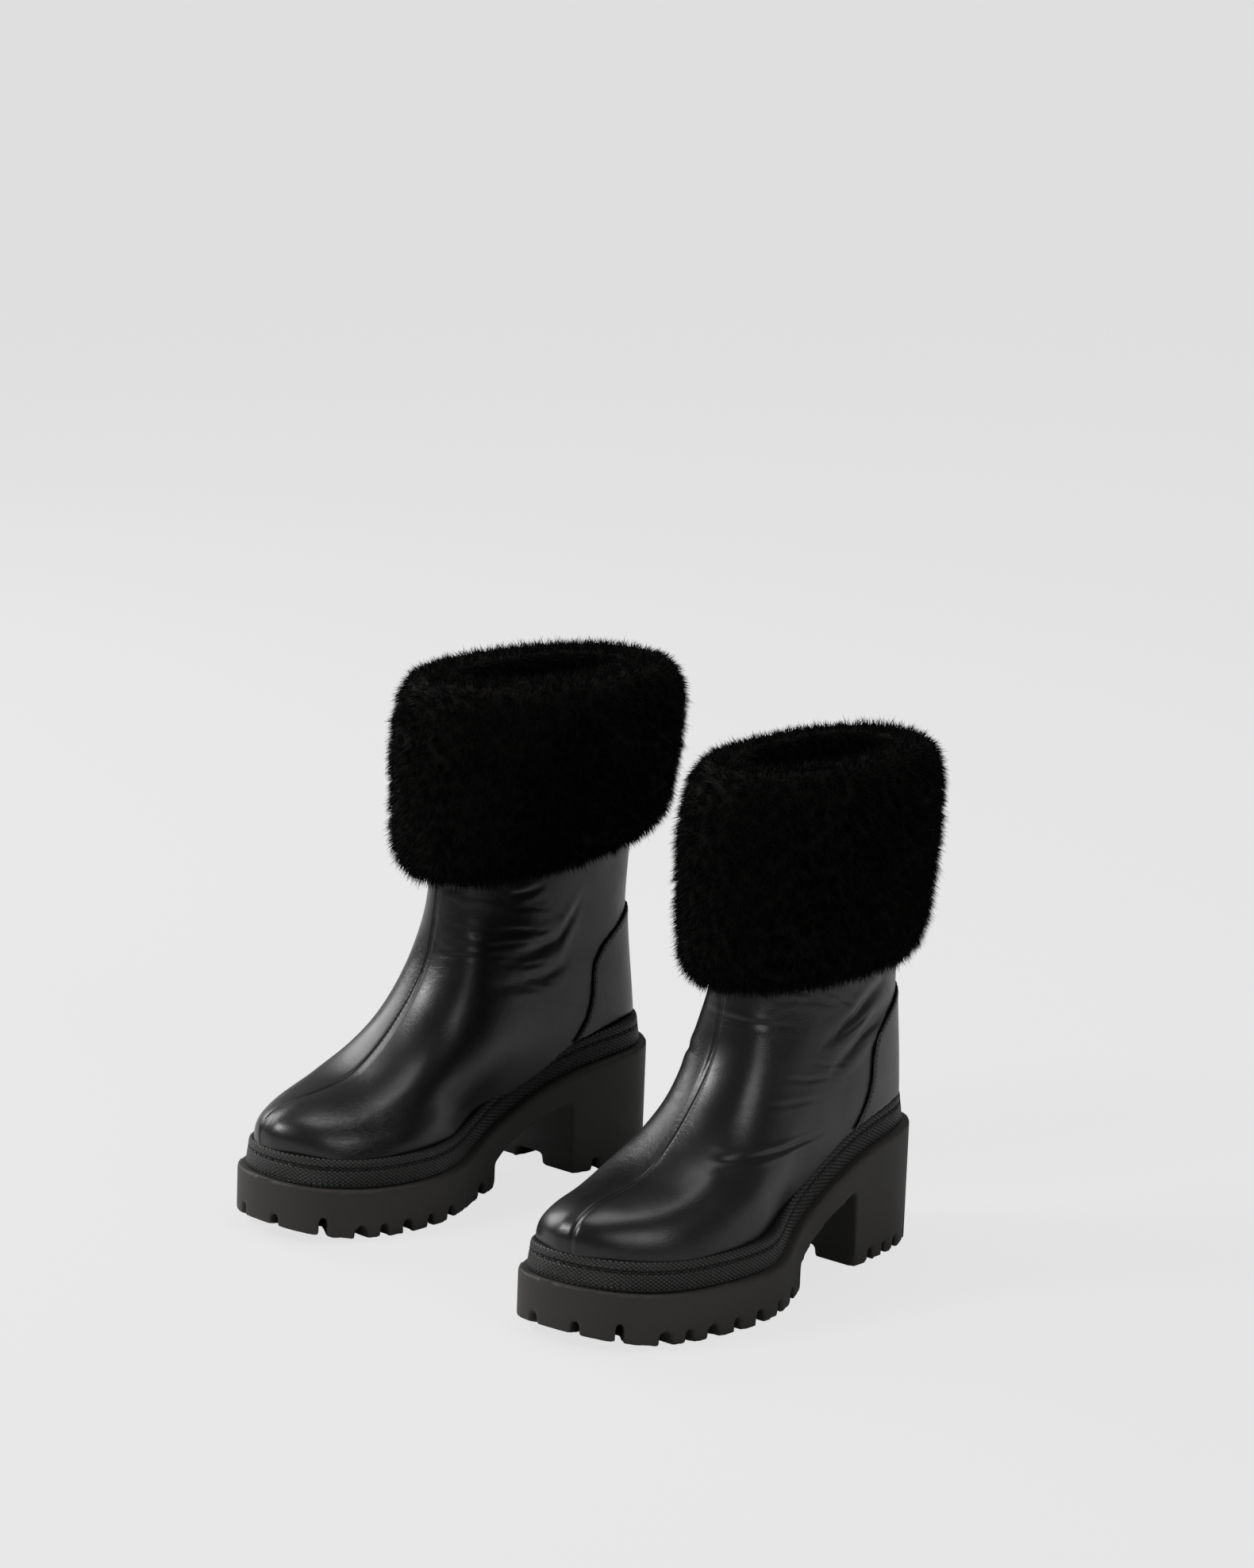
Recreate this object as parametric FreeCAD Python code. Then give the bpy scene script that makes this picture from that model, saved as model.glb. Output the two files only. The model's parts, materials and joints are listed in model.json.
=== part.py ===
"""Pair of pull-on platform boots with lugged rubber soles and turned-down fur cuffs.

Millimetres, +Z up, toes toward -Y, the wearer's left boot at +X, origin on the
ground under the middle of the pair. One boot is drawn as the left one in boot
coordinates: u runs from the back of the heel to the toe, v runs outward, and
(u, v, z) lies at X = v, Y = -u. The right boot is its mirror image, except
for the cuffs, which differ in height and width.
"""
import FreeCAD, Part
import math
import os

V = FreeCAD.Vector

# Size of the boot
SOLE_LENGTH = 270.0
BALL_WIDTH = 103.5
PLATFORM_HEIGHT = 24.4
HEEL_HEIGHT = 63.2
LEG_HEIGHT = 262.0

# Sole unit
TOE_SPRING = 8.0
SPRING_START = 0.826 * SOLE_LENGTH
BREAST_U = 0.265 * SOLE_LENGTH
BREAST_SLOPE = 1.0
FOREPART_U = 0.452 * SOLE_LENGTH
ARCH_RISE = 40.0
ARCH_MIDDLE_RISE = 30.5
FOREPART_STEP = 14.0
REAR_LUG_RADIUS = 4.5

# Lug grooves cut into the edge of the tread
GROOVE_HEIGHT = 7.0
WIDE_GROOVE = 6.0
NARROW_GROOVE = 4.0
WIDE_GROOVE_REACH = 33.0
NARROW_GROOVE_REACH = 12.0
HEEL_GROOVE_REACHES = (27.0, 33.0)
SIDE_GROOVES = [0.507, 0.581, 0.648, 0.711, 0.77, 0.822, 0.87, 0.911]
HEEL_GROOVES = [0.06, 0.115, 0.16, 0.208]
TOE_GROOVE_ANGLES = [-54.0, -20.0, 14.0, 46.0]
TOE_GROOVE_CENTRE = SOLE_LENGTH - 42.0
TOE_GROOVE_START = 20.0
TOE_GROOVE_LIFT = 0.8 * TOE_SPRING
HEEL_CHANNEL_WIDTH = 18.0
HEEL_CHANNEL_DEPTH = 6.0
HEEL_CHANNEL_END = 0.1 * SOLE_LENGTH

# Rand round the edge of the upper
RAND_HEIGHT = 14.7
RAND_INSET = 4.6

# Layers of the upper, from the outside inward
LEATHER = 1.6
STIFFENING = 0.8
LINING = 1.0
COUNTER = 1.5
SKIN = 1.2
GAP = 0.1

# Layers of the bottom, from the sole unit up
INSOLE_BOARD = 2.4
FOOTBED = 4.0
HEEL_PAD = 2.0
HEEL_PAD_LENGTH = 56.0
HEEL_PAD_WIDTH = 40.0
HEEL_PAD_BACK = 19.0
SHANK_WIDTH = 14.0
SHANK_THICKNESS = 1.8
SHANK_BACK = 0.16 * SOLE_LENGTH
SHANK_FRONT = 0.56 * SOLE_LENGTH
CORE_WALL = 9.0
CORE_FLOOR = 10.0
CORE_FRONT = 0.225 * SOLE_LENGTH

# Where the stiffening pieces end
TOE_PUFF_BACK = 0.77 * SOLE_LENGTH
STIFFENER_FRONT = 0.28 * SOLE_LENGTH
STIFFENER_TOP = 0.47 * LEG_HEIGHT
LINING_SPLIT_LEVEL = 0.36 * LEG_HEIGHT

# How the pair stands
HEEL_SPACING = 192.5
LEFT_STEP_FORWARD = 14.8
TOE_OUT = 3.0

# Plan outline of the sole, from the back of the heel round the outer side,
# as shares of the sole length and of the ball width
SOLE_OUTLINE = [
    (0.0, -0.013), (0.022, 0.175), (0.081, 0.275), (0.204, 0.327), (0.333, 0.348),
    (0.444, 0.365), (0.556, 0.478), (0.667, 0.514), (0.785, 0.471), (0.889, 0.379),
    (0.959, 0.237), (1.0, -0.042), (0.97, -0.283), (0.904, -0.401), (0.796, -0.48),
    (0.685, -0.486), (0.574, -0.38), (0.444, -0.25), (0.333, -0.281), (0.204, -0.35),
    (0.081, -0.334), (0.022, -0.186),
]

# Top of the sole unit from heel to toe: share of the length, and share of the
# rise from the platform to the heel
SEAT_CURVE = [
    (-0.06, 1.02), (0.0, 1.0), (0.11, 0.98), (0.222, 0.871), (0.333, 0.634),
    (0.444, 0.247), (0.556, 0.015), (0.667, 0.0), (0.778, 0.01), (0.889, 0.057),
    (1.0, 0.18), (1.06, 0.29),
]

# Filler between the turned-in edges of the upper
FILLER_OUTLINE = [
    (0.11, 0.0), (0.17, 0.09), (0.37, 0.07), (0.56, 0.2), (0.74, 0.27), (0.87, 0.17),
    (0.91, -0.02), (0.87, -0.2), (0.74, -0.26), (0.56, -0.13), (0.37, -0.03), (0.17, -0.1),
]

# Slices of the upper. The slicing planes rise toward the toe. A row holds the
# plane's height above the heel point as a share of the leg height, where the
# slice starts and ends as shares of the sole length, and its outer and inner
# half widths at SLICE_STATIONS as shares of the ball width.
SLICE_RISE = 0.4
SLICE_STATIONS = [0.04, 0.18, 0.4, 0.62, 0.82, 0.95]
SLICES = [
    (-0.324, 0.033, 0.97, (0.174, 0.242, 0.275, 0.415, 0.38, 0.205),
     (0.207, 0.266, 0.17, 0.335, 0.393, 0.27)),
    (-0.248, 0.033, 0.97, (0.174, 0.242, 0.275, 0.415, 0.38, 0.205),
     (0.207, 0.266, 0.17, 0.335, 0.393, 0.27)),
    (-0.172, 0.033, 0.96, (0.174, 0.242, 0.275, 0.415, 0.391, 0.208),
     (0.207, 0.266, 0.17, 0.33, 0.401, 0.27)),
    (-0.095, 0.033, 0.848, (0.17, 0.237, 0.264, 0.36, 0.415, 0.27),
     (0.2, 0.266, 0.187, 0.25, 0.396, 0.275)),
    (-0.019, 0.033, 0.733, (0.164, 0.232, 0.261, 0.3, 0.396, 0.32),
     (0.193, 0.266, 0.213, 0.19, 0.32, 0.3)),
    (0.076, 0.032, 0.654, (0.16, 0.232, 0.261, 0.314, 0.34, 0.255),
     (0.19, 0.262, 0.232, 0.25, 0.31, 0.228)),
    (0.191, 0.03, 0.585, (0.152, 0.235, 0.283, 0.315, 0.3, 0.215),
     (0.175, 0.256, 0.272, 0.288, 0.283, 0.2)),
    (0.324, 0.034, 0.544, (0.14, 0.24, 0.295, 0.3, 0.25, 0.162),
     (0.147, 0.24, 0.28, 0.285, 0.24, 0.155)),
    (0.477, 0.048, 0.526, (0.128, 0.24, 0.3, 0.3, 0.25, 0.16),
     (0.13, 0.232, 0.285, 0.29, 0.24, 0.153)),
    (0.65, 0.044, 0.524, (0.138, 0.26, 0.324, 0.324, 0.27, 0.172),
     (0.14, 0.25, 0.31, 0.31, 0.26, 0.165)),
    (0.88, 0.03, 0.53, (0.145, 0.275, 0.338, 0.338, 0.28, 0.18),
     (0.145, 0.27, 0.33, 0.33, 0.275, 0.175)),
    (1.12, 0.022, 0.536, (0.15, 0.285, 0.348, 0.348, 0.29, 0.19),
     (0.15, 0.28, 0.34, 0.34, 0.285, 0.185)),
]

# Edge of the heel counter seen from the side, from the back down to the rand,
# as shares of the sole length and of the heel height
COUNTER_EDGE = [
    (-0.05, 2.2), (0.05, 2.18), (0.11, 2.09), (0.17, 1.95), (0.207, 1.77),
    (0.211, 1.58), (0.219, 1.39), (0.244, 1.2), (0.296, 0.95),
]

# The two fur cuffs: centre, half length, half width, lower edge at the front,
# rise of the lower edge toward the back, upper edge, backward lean of the upper edge
CUFF_LEFT = {
    "centre": 81.0, "length": 84.0, "width": 47.0, "low": 156.0, "rise": 0.0,
    "high": 264.0, "lean": 6.0,
}
CUFF_RIGHT = {
    "centre": 78.0, "length": 87.0, "width": 56.0, "low": 167.0, "rise": 0.12,
    "high": 272.0, "lean": 5.0,
}
# Swell of the fur from its lower to its upper edge: share of the height, and
# share of the half length
CUFF_SWELL = [
    (0.0, 0.85), (0.06, 0.925), (0.2, 0.97), (0.5, 1.0), (0.8, 0.995), (0.94, 0.945), (1.0, 0.87),
]
CUFF_SQUARENESS = 2.2
CUFF_POINTS = 16
FUR_INSIDE_DEPTH = 28.0
OPENING_LENGTH = 107.5
OPENING_WIDTH = 47.5
SKIN_EDGE_MARGIN = 4.0

# Room that helper solids fill, and how far cutters run past what they cut
HALF_SPACE = 400.0
OVERRUN = 10.0


def at(u, v, z):
    """Point of the boot in model axes."""
    return V(v, -u, z)


def seat_height(share):
    """Height that a share of the rise from platform to heel stands for."""
    return PLATFORM_HEIGHT + share * (HEEL_HEIGHT - PLATFORM_HEIGHT)


def inset_loop(loop, inset):
    """Plan points (u, v) of a closed loop moved inward along their normals."""
    moved = []
    for i, (u, v) in enumerate(loop):
        u0, v0 = loop[i - 1]
        u1, v1 = loop[(i + 1) % len(loop)]
        along = math.hypot(u1 - u0, v1 - v0)
        moved.append((u + inset * (v1 - v0) / along, v - inset * (u1 - u0) / along))
    return moved


def closed_curve(points):
    """Smooth closed wire through the points."""
    curve = Part.BSplineCurve()
    curve.interpolate(Points=points, PeriodicFlag=True)
    return Part.Wire(curve.toShape())


def plan_prism(shares, inset, low, high):
    """Upright prism over a plan outline given in shares, drawn in by an inset."""
    loop = [(u * SOLE_LENGTH, v * BALL_WIDTH) for u, v in shares]
    wire = closed_curve([at(u, v, low) for u, v in inset_loop(loop, inset)])
    return Part.Face(wire).extrude(V(0, 0, high - low))


def side_solid(edges):
    """Solid over the full width between the edges of a side view."""
    face = Part.Face(Part.Wire(edges))
    face.translate(V(-HALF_SPACE / 2, 0, 0))
    return face.extrude(V(HALF_SPACE, 0, 0))


def polyline(points):
    """Straight edges through side-view points (u, z)."""
    ends = [at(u, 0, z) for u, z in points]
    return [Part.LineSegment(a, b).toShape() for a, b in zip(ends, ends[1:])]


def seat_edge(offset):
    """Top line of the sole unit in side view, raised by an offset."""
    curve = Part.BSplineCurve()
    curve.interpolate([at(u * SOLE_LENGTH, 0, seat_height(s) + offset) for u, s in SEAT_CURVE])
    return curve.toShape()


def above_seat(offset):
    """Everything above the seat line raised by an offset."""
    edge = seat_edge(offset)
    back, front = edge.Vertexes[0].Point, edge.Vertexes[-1].Point
    corners = [(-front.y, front.z), (-front.y, HALF_SPACE), (-back.y, HALF_SPACE), (-back.y, back.z)]
    lid = polyline(corners)
    return side_solid([edge] + lid)


def between_seats(low, high):
    """Layer that follows the seat line, between two offsets from it."""
    return above_seat(low).cut(above_seat(high))


def block(u0, u1, v0, v1, z0, z1):
    """Box between two values of each boot coordinate."""
    return Part.makeBox(v1 - v0, u1 - u0, z1 - z0, V(v0, -u1, z0))


def across(u0, u1, z0, z1):
    """Box over the full width between two values of u and of the height."""
    return block(u0, u1, -HALF_SPACE, HALF_SPACE, z0, z1)


def below(height):
    """Everything below a height."""
    return across(-HALF_SPACE, HALF_SPACE, -HALF_SPACE, height)


def slice_points(row, inset):
    """Points of one slice of the upper, drawn in by an inset."""
    level, start, end, outer, inner = row
    back, front = start * SOLE_LENGTH, end * SOLE_LENGTH
    stations = [back + s * (front - back) for s in SLICE_STATIONS]
    loop = [(back, 0.0)]
    loop += [(u, w * BALL_WIDTH) for u, w in zip(stations, outer)]
    loop.append((front, 0.0))
    loop += [(u, -w * BALL_WIDTH) for u, w in reversed(list(zip(stations, inner)))]
    return [at(u, v, level * LEG_HEIGHT + SLICE_RISE * u) for u, v in inset_loop(loop, inset)]


def boot_form(inset):
    """Full form of the upper, drawn in by an inset, running past both ends."""
    wires = [closed_curve(slice_points(row, inset)) for row in SLICES]
    return Part.makeLoft(wires, True)


def one_solid(shape):
    """The largest solid of a shape."""
    return max(shape.Solids, key=lambda s: s.Volume)


def tread_groove(u, width, side, reach):
    """Cutter for a groove with a round top, open to one side of the tread."""
    half = width / 2
    straight = GROOVE_HEIGHT - half
    deep = -OVERRUN
    base = polyline([(u - half, straight), (u - half, deep), (u + half, deep), (u + half, straight)])
    top = Part.Arc(at(u + half, 0, straight), at(u, 0, GROOVE_HEIGHT), at(u - half, 0, straight))
    face = Part.Face(Part.Wire(base + [top.toShape()]))
    face.translate(V(side * (BALL_WIDTH / 2 - reach), 0, spring_lift(u)))
    return face.extrude(V(side * HALF_SPACE, 0, 0))


def spring_lift(u):
    """Height of the tread above the ground, which grows toward the toe."""
    run = max(0.0, u - SPRING_START) / (SOLE_LENGTH - SPRING_START)
    return TOE_SPRING * run ** 2


def toe_groove(angle):
    """Cutter for a notch that runs out radially under the toe."""
    groove = tread_groove(0.0, NARROW_GROOVE, 1, NARROW_GROOVE_REACH)
    start = BALL_WIDTH / 2 - NARROW_GROOVE_REACH
    groove.translate(V(TOE_GROOVE_START - start, 0, TOE_GROOVE_LIFT))
    groove.rotate(V(0, 0, 0), V(0, 0, 1), -90 + angle)
    groove.translate(at(TOE_GROOVE_CENTRE, 0, 0))
    return groove


def tread_cutters():
    """All grooves of the tread."""
    cutters = []
    for side in (1, -1):
        for number, share in enumerate(SIDE_GROOVES):
            wide = number % 2 == 0
            width = WIDE_GROOVE if wide else NARROW_GROOVE
            reach = WIDE_GROOVE_REACH if wide else NARROW_GROOVE_REACH
            cutters.append(tread_groove(share * SOLE_LENGTH, width, side, reach))
        for number, share in enumerate(HEEL_GROOVES):
            reach = HEEL_GROOVE_REACHES[number % 2]
            cutters.append(tread_groove(share * SOLE_LENGTH, NARROW_GROOVE, side, reach))
    cutters += [toe_groove(angle) for angle in TOE_GROOVE_ANGLES]
    half = HEEL_CHANNEL_WIDTH / 2
    channel_end = BREAST_U + OVERRUN
    cutters.append(block(HEEL_CHANNEL_END, channel_end, -half, half, -OVERRUN, HEEL_CHANNEL_DEPTH))
    return cutters


def sole_side_view():
    """Solid of the sole unit's side view: heel, arch, forepart and toe spring."""
    back, front = -OVERRUN, SOLE_LENGTH + OVERRUN
    middle = (SPRING_START + front) / 2
    ends = [(u, spring_lift(u)) for u in (SPRING_START, middle, front)]
    spring = Part.Arc(*[at(u, 0, z) for u, z in ends]).toShape()
    radius = REAR_LUG_RADIUS
    bend = radius * (1 - math.sqrt(0.5))
    breast_top = (BREAST_U + BREAST_SLOPE, ARCH_RISE)
    arch_middle = (breast_top[0] + FOREPART_U) / 2
    arch_points = [breast_top, (arch_middle, ARCH_MIDDLE_RISE), (FOREPART_U, FOREPART_STEP)]
    lug_points = [(FOREPART_U, radius), (FOREPART_U + bend, bend), (FOREPART_U + radius, 0)]
    heel = polyline([(back, HALF_SPACE), (back, 0), (BREAST_U, 0), breast_top])
    arch = Part.Arc(*[at(u, 0, z) for u, z in arch_points]).toShape()
    step = polyline([(FOREPART_U, FOREPART_STEP), (FOREPART_U, radius)])
    rear = Part.Arc(*[at(u, 0, z) for u, z in lug_points]).toShape()
    flat = polyline([(FOREPART_U + radius, 0), (SPRING_START, 0)])
    lid = polyline([ends[-1], (front, HALF_SPACE), (back, HALF_SPACE)])
    return side_solid(heel + [arch] + step + [rear] + flat + [spring] + lid)


def sole_unit():
    """Rubber unit sole: plan and side view crossed, then the tread cut in."""
    body = plan_prism(SOLE_OUTLINE, 0, -OVERRUN, HEEL_HEIGHT + OVERRUN)
    body = body.common(sole_side_view()).cut(above_seat(0))
    body = body.cut(tread_cutters())
    return one_solid(body.cut([shank_space(GAP), core_space(GAP)]))


def shank_space(gap):
    """Strip that the shank fills, with a gap all round."""
    strip = between_seats(-SHANK_THICKNESS - gap, gap)
    half = SHANK_WIDTH / 2 + gap
    return strip.common(block(SHANK_BACK - gap, SHANK_FRONT + gap, -half, half, 0, HALF_SPACE))


def core_space(gap):
    """Block inside the heel, open to the seat, with a gap all round."""
    block_form = plan_prism(SOLE_OUTLINE, CORE_WALL - gap, CORE_FLOOR - gap, HALF_SPACE)
    block_form = block_form.common(across(0, CORE_FRONT + gap, 0, HALF_SPACE))
    return block_form.cut(above_seat(gap))


def rand_band(form):
    """Band on the sole edge that hugs the upper."""
    band = plan_prism(SOLE_OUTLINE, RAND_INSET, 0, HALF_SPACE)
    return one_solid(band.common(between_seats(0, RAND_HEIGHT)).cut(form))


def leather_shell(outer, core, filler):
    """Leather of the upper with its edge turned in on the sole."""
    shell = outer.common(above_seat(0)).common(below(LEG_HEIGHT))
    shell = shell.cut(core.common(above_seat(LEATHER + GAP)))
    return one_solid(shell.cut(filler))


def half_of(shape, side):
    """The outer or the inner half of a shape, split along the middle seams."""
    middle = side * GAP / 2
    low, high = sorted((middle, side * HALF_SPACE))
    half = block(-HALF_SPACE, HALF_SPACE, low, high, -HALF_SPACE, HALF_SPACE)
    return one_solid(shape.common(half))


def counter_region():
    """Everything behind the counter's edge."""
    curve = Part.BSplineCurve()
    curve.interpolate([at(u * SOLE_LENGTH, 0, z * HEEL_HEIGHT) for u, z in COUNTER_EDGE])
    top_u, top = COUNTER_EDGE[0][0] * SOLE_LENGTH, COUNTER_EDGE[0][1] * HEEL_HEIGHT
    low_u, low = COUNTER_EDGE[-1][0] * SOLE_LENGTH, COUNTER_EDGE[-1][1] * HEEL_HEIGHT
    back = -HALF_SPACE
    rest = polyline([(low_u, low), (low_u, 0), (back, 0), (back, top), (top_u, top)])
    return side_solid([curve.toShape()] + rest)


def back_counter(form):
    """Leather overlay round the back of the heel, standing on the rand."""
    shell = boot_form(-GAP - COUNTER).cut(form).common(counter_region())
    return one_solid(shell.common(above_seat(RAND_HEIGHT + GAP)))


def stiffening_layer():
    """Toe puff, heel stiffener and the interlining that fills the rest."""
    inset = LEATHER + GAP
    layer = boot_form(inset).cut(boot_form(inset + STIFFENING)).common(below(LEG_HEIGHT))
    layer = layer.common(above_seat(LEATHER + INSOLE_BOARD + 2 * GAP))
    toe = across(TOE_PUFF_BACK, HALF_SPACE, 0, HALF_SPACE)
    heel = across(-HALF_SPACE, STIFFENER_FRONT, 0, STIFFENER_TOP)
    toe_room = across(TOE_PUFF_BACK - GAP, HALF_SPACE, 0, HALF_SPACE)
    heel_room = across(-HALF_SPACE, STIFFENER_FRONT + GAP, 0, STIFFENER_TOP + GAP)
    return {
        "toe_puff": one_solid(layer.common(toe)),
        "heel_stiffener": one_solid(layer.common(heel)),
        "interlining": one_solid(layer.cut([toe_room, heel_room])),
    }


def above_slice(level):
    """Everything above a slicing plane."""
    rise = SLICE_RISE * HALF_SPACE
    return side_solid(polyline([
        (-HALF_SPACE, level - rise), (HALF_SPACE, level + rise), (HALF_SPACE, HALF_SPACE * 2),
        (-HALF_SPACE, HALF_SPACE * 2), (-HALF_SPACE, level - rise),
    ]))


def lining_layer(outer, inner):
    """Lining of the foot and lining of the shaft, meeting along a slicing plane."""
    layer = outer.cut(inner).common(below(LEG_HEIGHT))
    layer = layer.common(above_seat(LEATHER + INSOLE_BOARD + 2 * GAP))
    return {
        "foot_lining": one_solid(layer.cut(above_slice(LINING_SPLIT_LEVEL))),
        "shaft_lining": one_solid(layer.common(above_slice(LINING_SPLIT_LEVEL + GAP))),
    }


def bottom_layers(inside_leather, inside_lining):
    """Filler, insole board, footbed and heel pad, stacked on the sole unit."""
    board_low = LEATHER + GAP
    bed_low = board_low + INSOLE_BOARD + GAP
    pad_low = bed_low + FOOTBED + GAP
    filler = plan_prism(FILLER_OUTLINE, GAP, 0, HALF_SPACE).common(between_seats(GAP, LEATHER))
    board = inside_leather.common(between_seats(board_low, board_low + INSOLE_BOARD))
    bed = inside_lining.common(between_seats(bed_low, bed_low + FOOTBED))
    pad = heel_pad_prism().common(between_seats(pad_low, pad_low + HEEL_PAD))
    return {
        "bottom_filler": one_solid(filler),
        "insole_board": one_solid(board),
        "footbed": one_solid(bed),
        "heel_pad": one_solid(pad),
    }


def heel_pad_prism():
    """Upright prism over the oval outline of the heel pad."""
    ellipse = Part.Ellipse(at(0, 0, 0), HEEL_PAD_LENGTH / 2, HEEL_PAD_WIDTH / 2)
    face = Part.Face(Part.Wire(ellipse.toShape()))
    face.rotate(V(0, 0, 0), V(0, 0, 1), 90)
    face.translate(at(HEEL_PAD_BACK + HEEL_PAD_LENGTH / 2, 0, 0))
    return face.extrude(V(0, 0, HALF_SPACE))


def oval(half_length, half_width):
    """Points (u, v) of a slightly squared oval round the origin."""
    power = 2 / CUFF_SQUARENESS
    points = []
    for i in range(CUFF_POINTS):
        turn = 2 * math.pi * i / CUFF_POINTS
        c, s = math.cos(turn), math.sin(turn)
        points.append((-half_length * math.copysign(abs(c) ** power, c),
                       half_width * math.copysign(abs(s) ** power, s)))
    return points


def cuff_ring(cuff, height_share, swell):
    """One ring of a cuff's outer form."""
    low, high = cuff["low"], cuff["high"]
    tilt = cuff["rise"] * (1 - height_share)
    inward = cuff["length"] * (1 - swell)
    centre = cuff["centre"] - cuff["lean"] * height_share
    points = []
    for u, v in oval(cuff["length"] - inward, cuff["width"] - inward):
        height = low + (high - low) * height_share + tilt * (cuff["length"] - u)
        points.append(at(centre + u, v, height))
    return closed_curve(points)


def leg_opening():
    """Upright oval space inside the fur, in the middle of the shaft's top."""
    centre = (SLICES[-1][2] + SLICES[-1][1]) * SOLE_LENGTH / 2
    loop = oval(OPENING_LENGTH / 2, OPENING_WIDTH / 2)
    wire = closed_curve([at(centre + u, v, 0) for u, v in loop])
    return Part.Face(wire).extrude(V(0, 0, HALF_SPACE))


def fur_cuff(cuff, around, inside):
    """Turned-down fur: thick outside the shaft, over its top and a little way in."""
    outer = Part.makeLoft([cuff_ring(cuff, share, swell) for share, swell in CUFF_SWELL], True)
    shaft = around.common(below(LEG_HEIGHT + GAP))
    depth, top = LEG_HEIGHT - FUR_INSIDE_DEPTH, LEG_HEIGHT + 2 * GAP
    within = inside.common(across(-HALF_SPACE, HALF_SPACE, depth, top))
    return one_solid(outer.cut(shaft).fuse(within).cut(leg_opening()))


def cuff_skin(cuff, around, form):
    """Hide that carries the fur, lying on the outside of the shaft."""
    low = cuff["low"] + cuff["rise"] * 2 * cuff["length"] + SKIN_EDGE_MARGIN
    ring = around.cut(form).common(below(LEG_HEIGHT))
    return one_solid(ring.cut(below(low)))


def boot_pieces():
    """Pieces that both boots share, drawn as the left boot, by node name."""
    outer = boot_form(0)
    hugging = boot_form(-GAP)
    inside_leather = boot_form(LEATHER + GAP)
    lining_inset = LEATHER + STIFFENING + 2 * GAP
    lining_outer = boot_form(lining_inset)
    lining_inner = boot_form(lining_inset + LINING)
    inside_lining = boot_form(lining_inset + LINING + GAP)
    turned_in = between_seats(-GAP, LEATHER + 2 * GAP)
    filler_room = plan_prism(FILLER_OUTLINE, 0, 0, HALF_SPACE).common(turned_in)
    leather = leather_shell(outer, boot_form(LEATHER), filler_room)
    pieces = {
        "sole_unit": sole_unit(),
        "shank": one_solid(shank_space(0).cut(above_seat(0))),
        "heel_core": one_solid(core_space(0).cut(above_seat(0)).cut(shank_space(GAP))),
        "rand_band": rand_band(hugging),
        "lateral_panel": half_of(leather, 1),
        "medial_panel": half_of(leather, -1),
        "back_counter": back_counter(hugging),
    }
    pieces.update(bottom_layers(inside_leather, inside_lining))
    pieces.update(stiffening_layer())
    pieces.update(lining_layer(lining_outer, lining_inner))
    return pieces


def cuff_pieces(cuff):
    """Hide and fur of one cuff, drawn on a left boot."""
    form = boot_form(-GAP)
    around = boot_form(-GAP - SKIN)
    lining_inside = LEATHER + STIFFENING + LINING + 3 * GAP
    return {
        "cuff_skin": cuff_skin(cuff, around, form),
        "fur_cuff": fur_cuff(cuff, boot_form(-2 * GAP - SKIN), boot_form(lining_inside)),
    }


def placed(shape, side):
    """A piece of the left boot moved to its place in the pair."""
    moved = shape.copy() if side > 0 else shape.mirror(V(0, 0, 0), V(1, 0, 0))
    moved.rotate(V(0, 0, 0), V(0, 0, 1), side * TOE_OUT)
    moved.translate(V(side * HEEL_SPACING / 2, -side * LEFT_STEP_FORWARD / 2, 0))
    return moved


def pair():
    """All pieces of the pair by node name, centred over the origin."""
    shared = boot_pieces()
    nodes = {}
    for name, side, cuff in (("left", 1, CUFF_LEFT), ("right", -1, CUFF_RIGHT)):
        for piece, shape in {**shared, **cuff_pieces(cuff)}.items():
            nodes[f"{name}_{piece}"] = placed(shape, side)
    widest = [shape for name, shape in nodes.items() if name.endswith(("sole_unit", "fur_cuff"))]
    box = Part.makeCompound(widest).optimalBoundingBox()
    for shape in nodes.values():
        shape.translate(V(-box.Center.x, -box.Center.y, -box.ZMin))
    return nodes


if __name__ == "__main__":
    os.makedirs("parts", exist_ok=True)
    for node, shape in pair().items():
        shape.exportStep(f"parts/{node}.step")
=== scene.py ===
"""Looks of a pair of black leather platform boots with lugged soles and fur cuffs.

A boot has its own coordinates in millimetres: u runs from the back of the heel
to the toe, v outward, z up. Everything is shaped there and then placed in
the row frame, so both boots share one set of sizes.
"""

import json
import logging
import math
from dataclasses import dataclass
from enum import Enum
from typing import Callable, Optional, Sequence, Union

import bpy
import numpy as np
from mathutils import Matrix, Vector, noise
from mathutils.bvhtree import BVHTree
from mathutils.kdtree import KDTree

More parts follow.
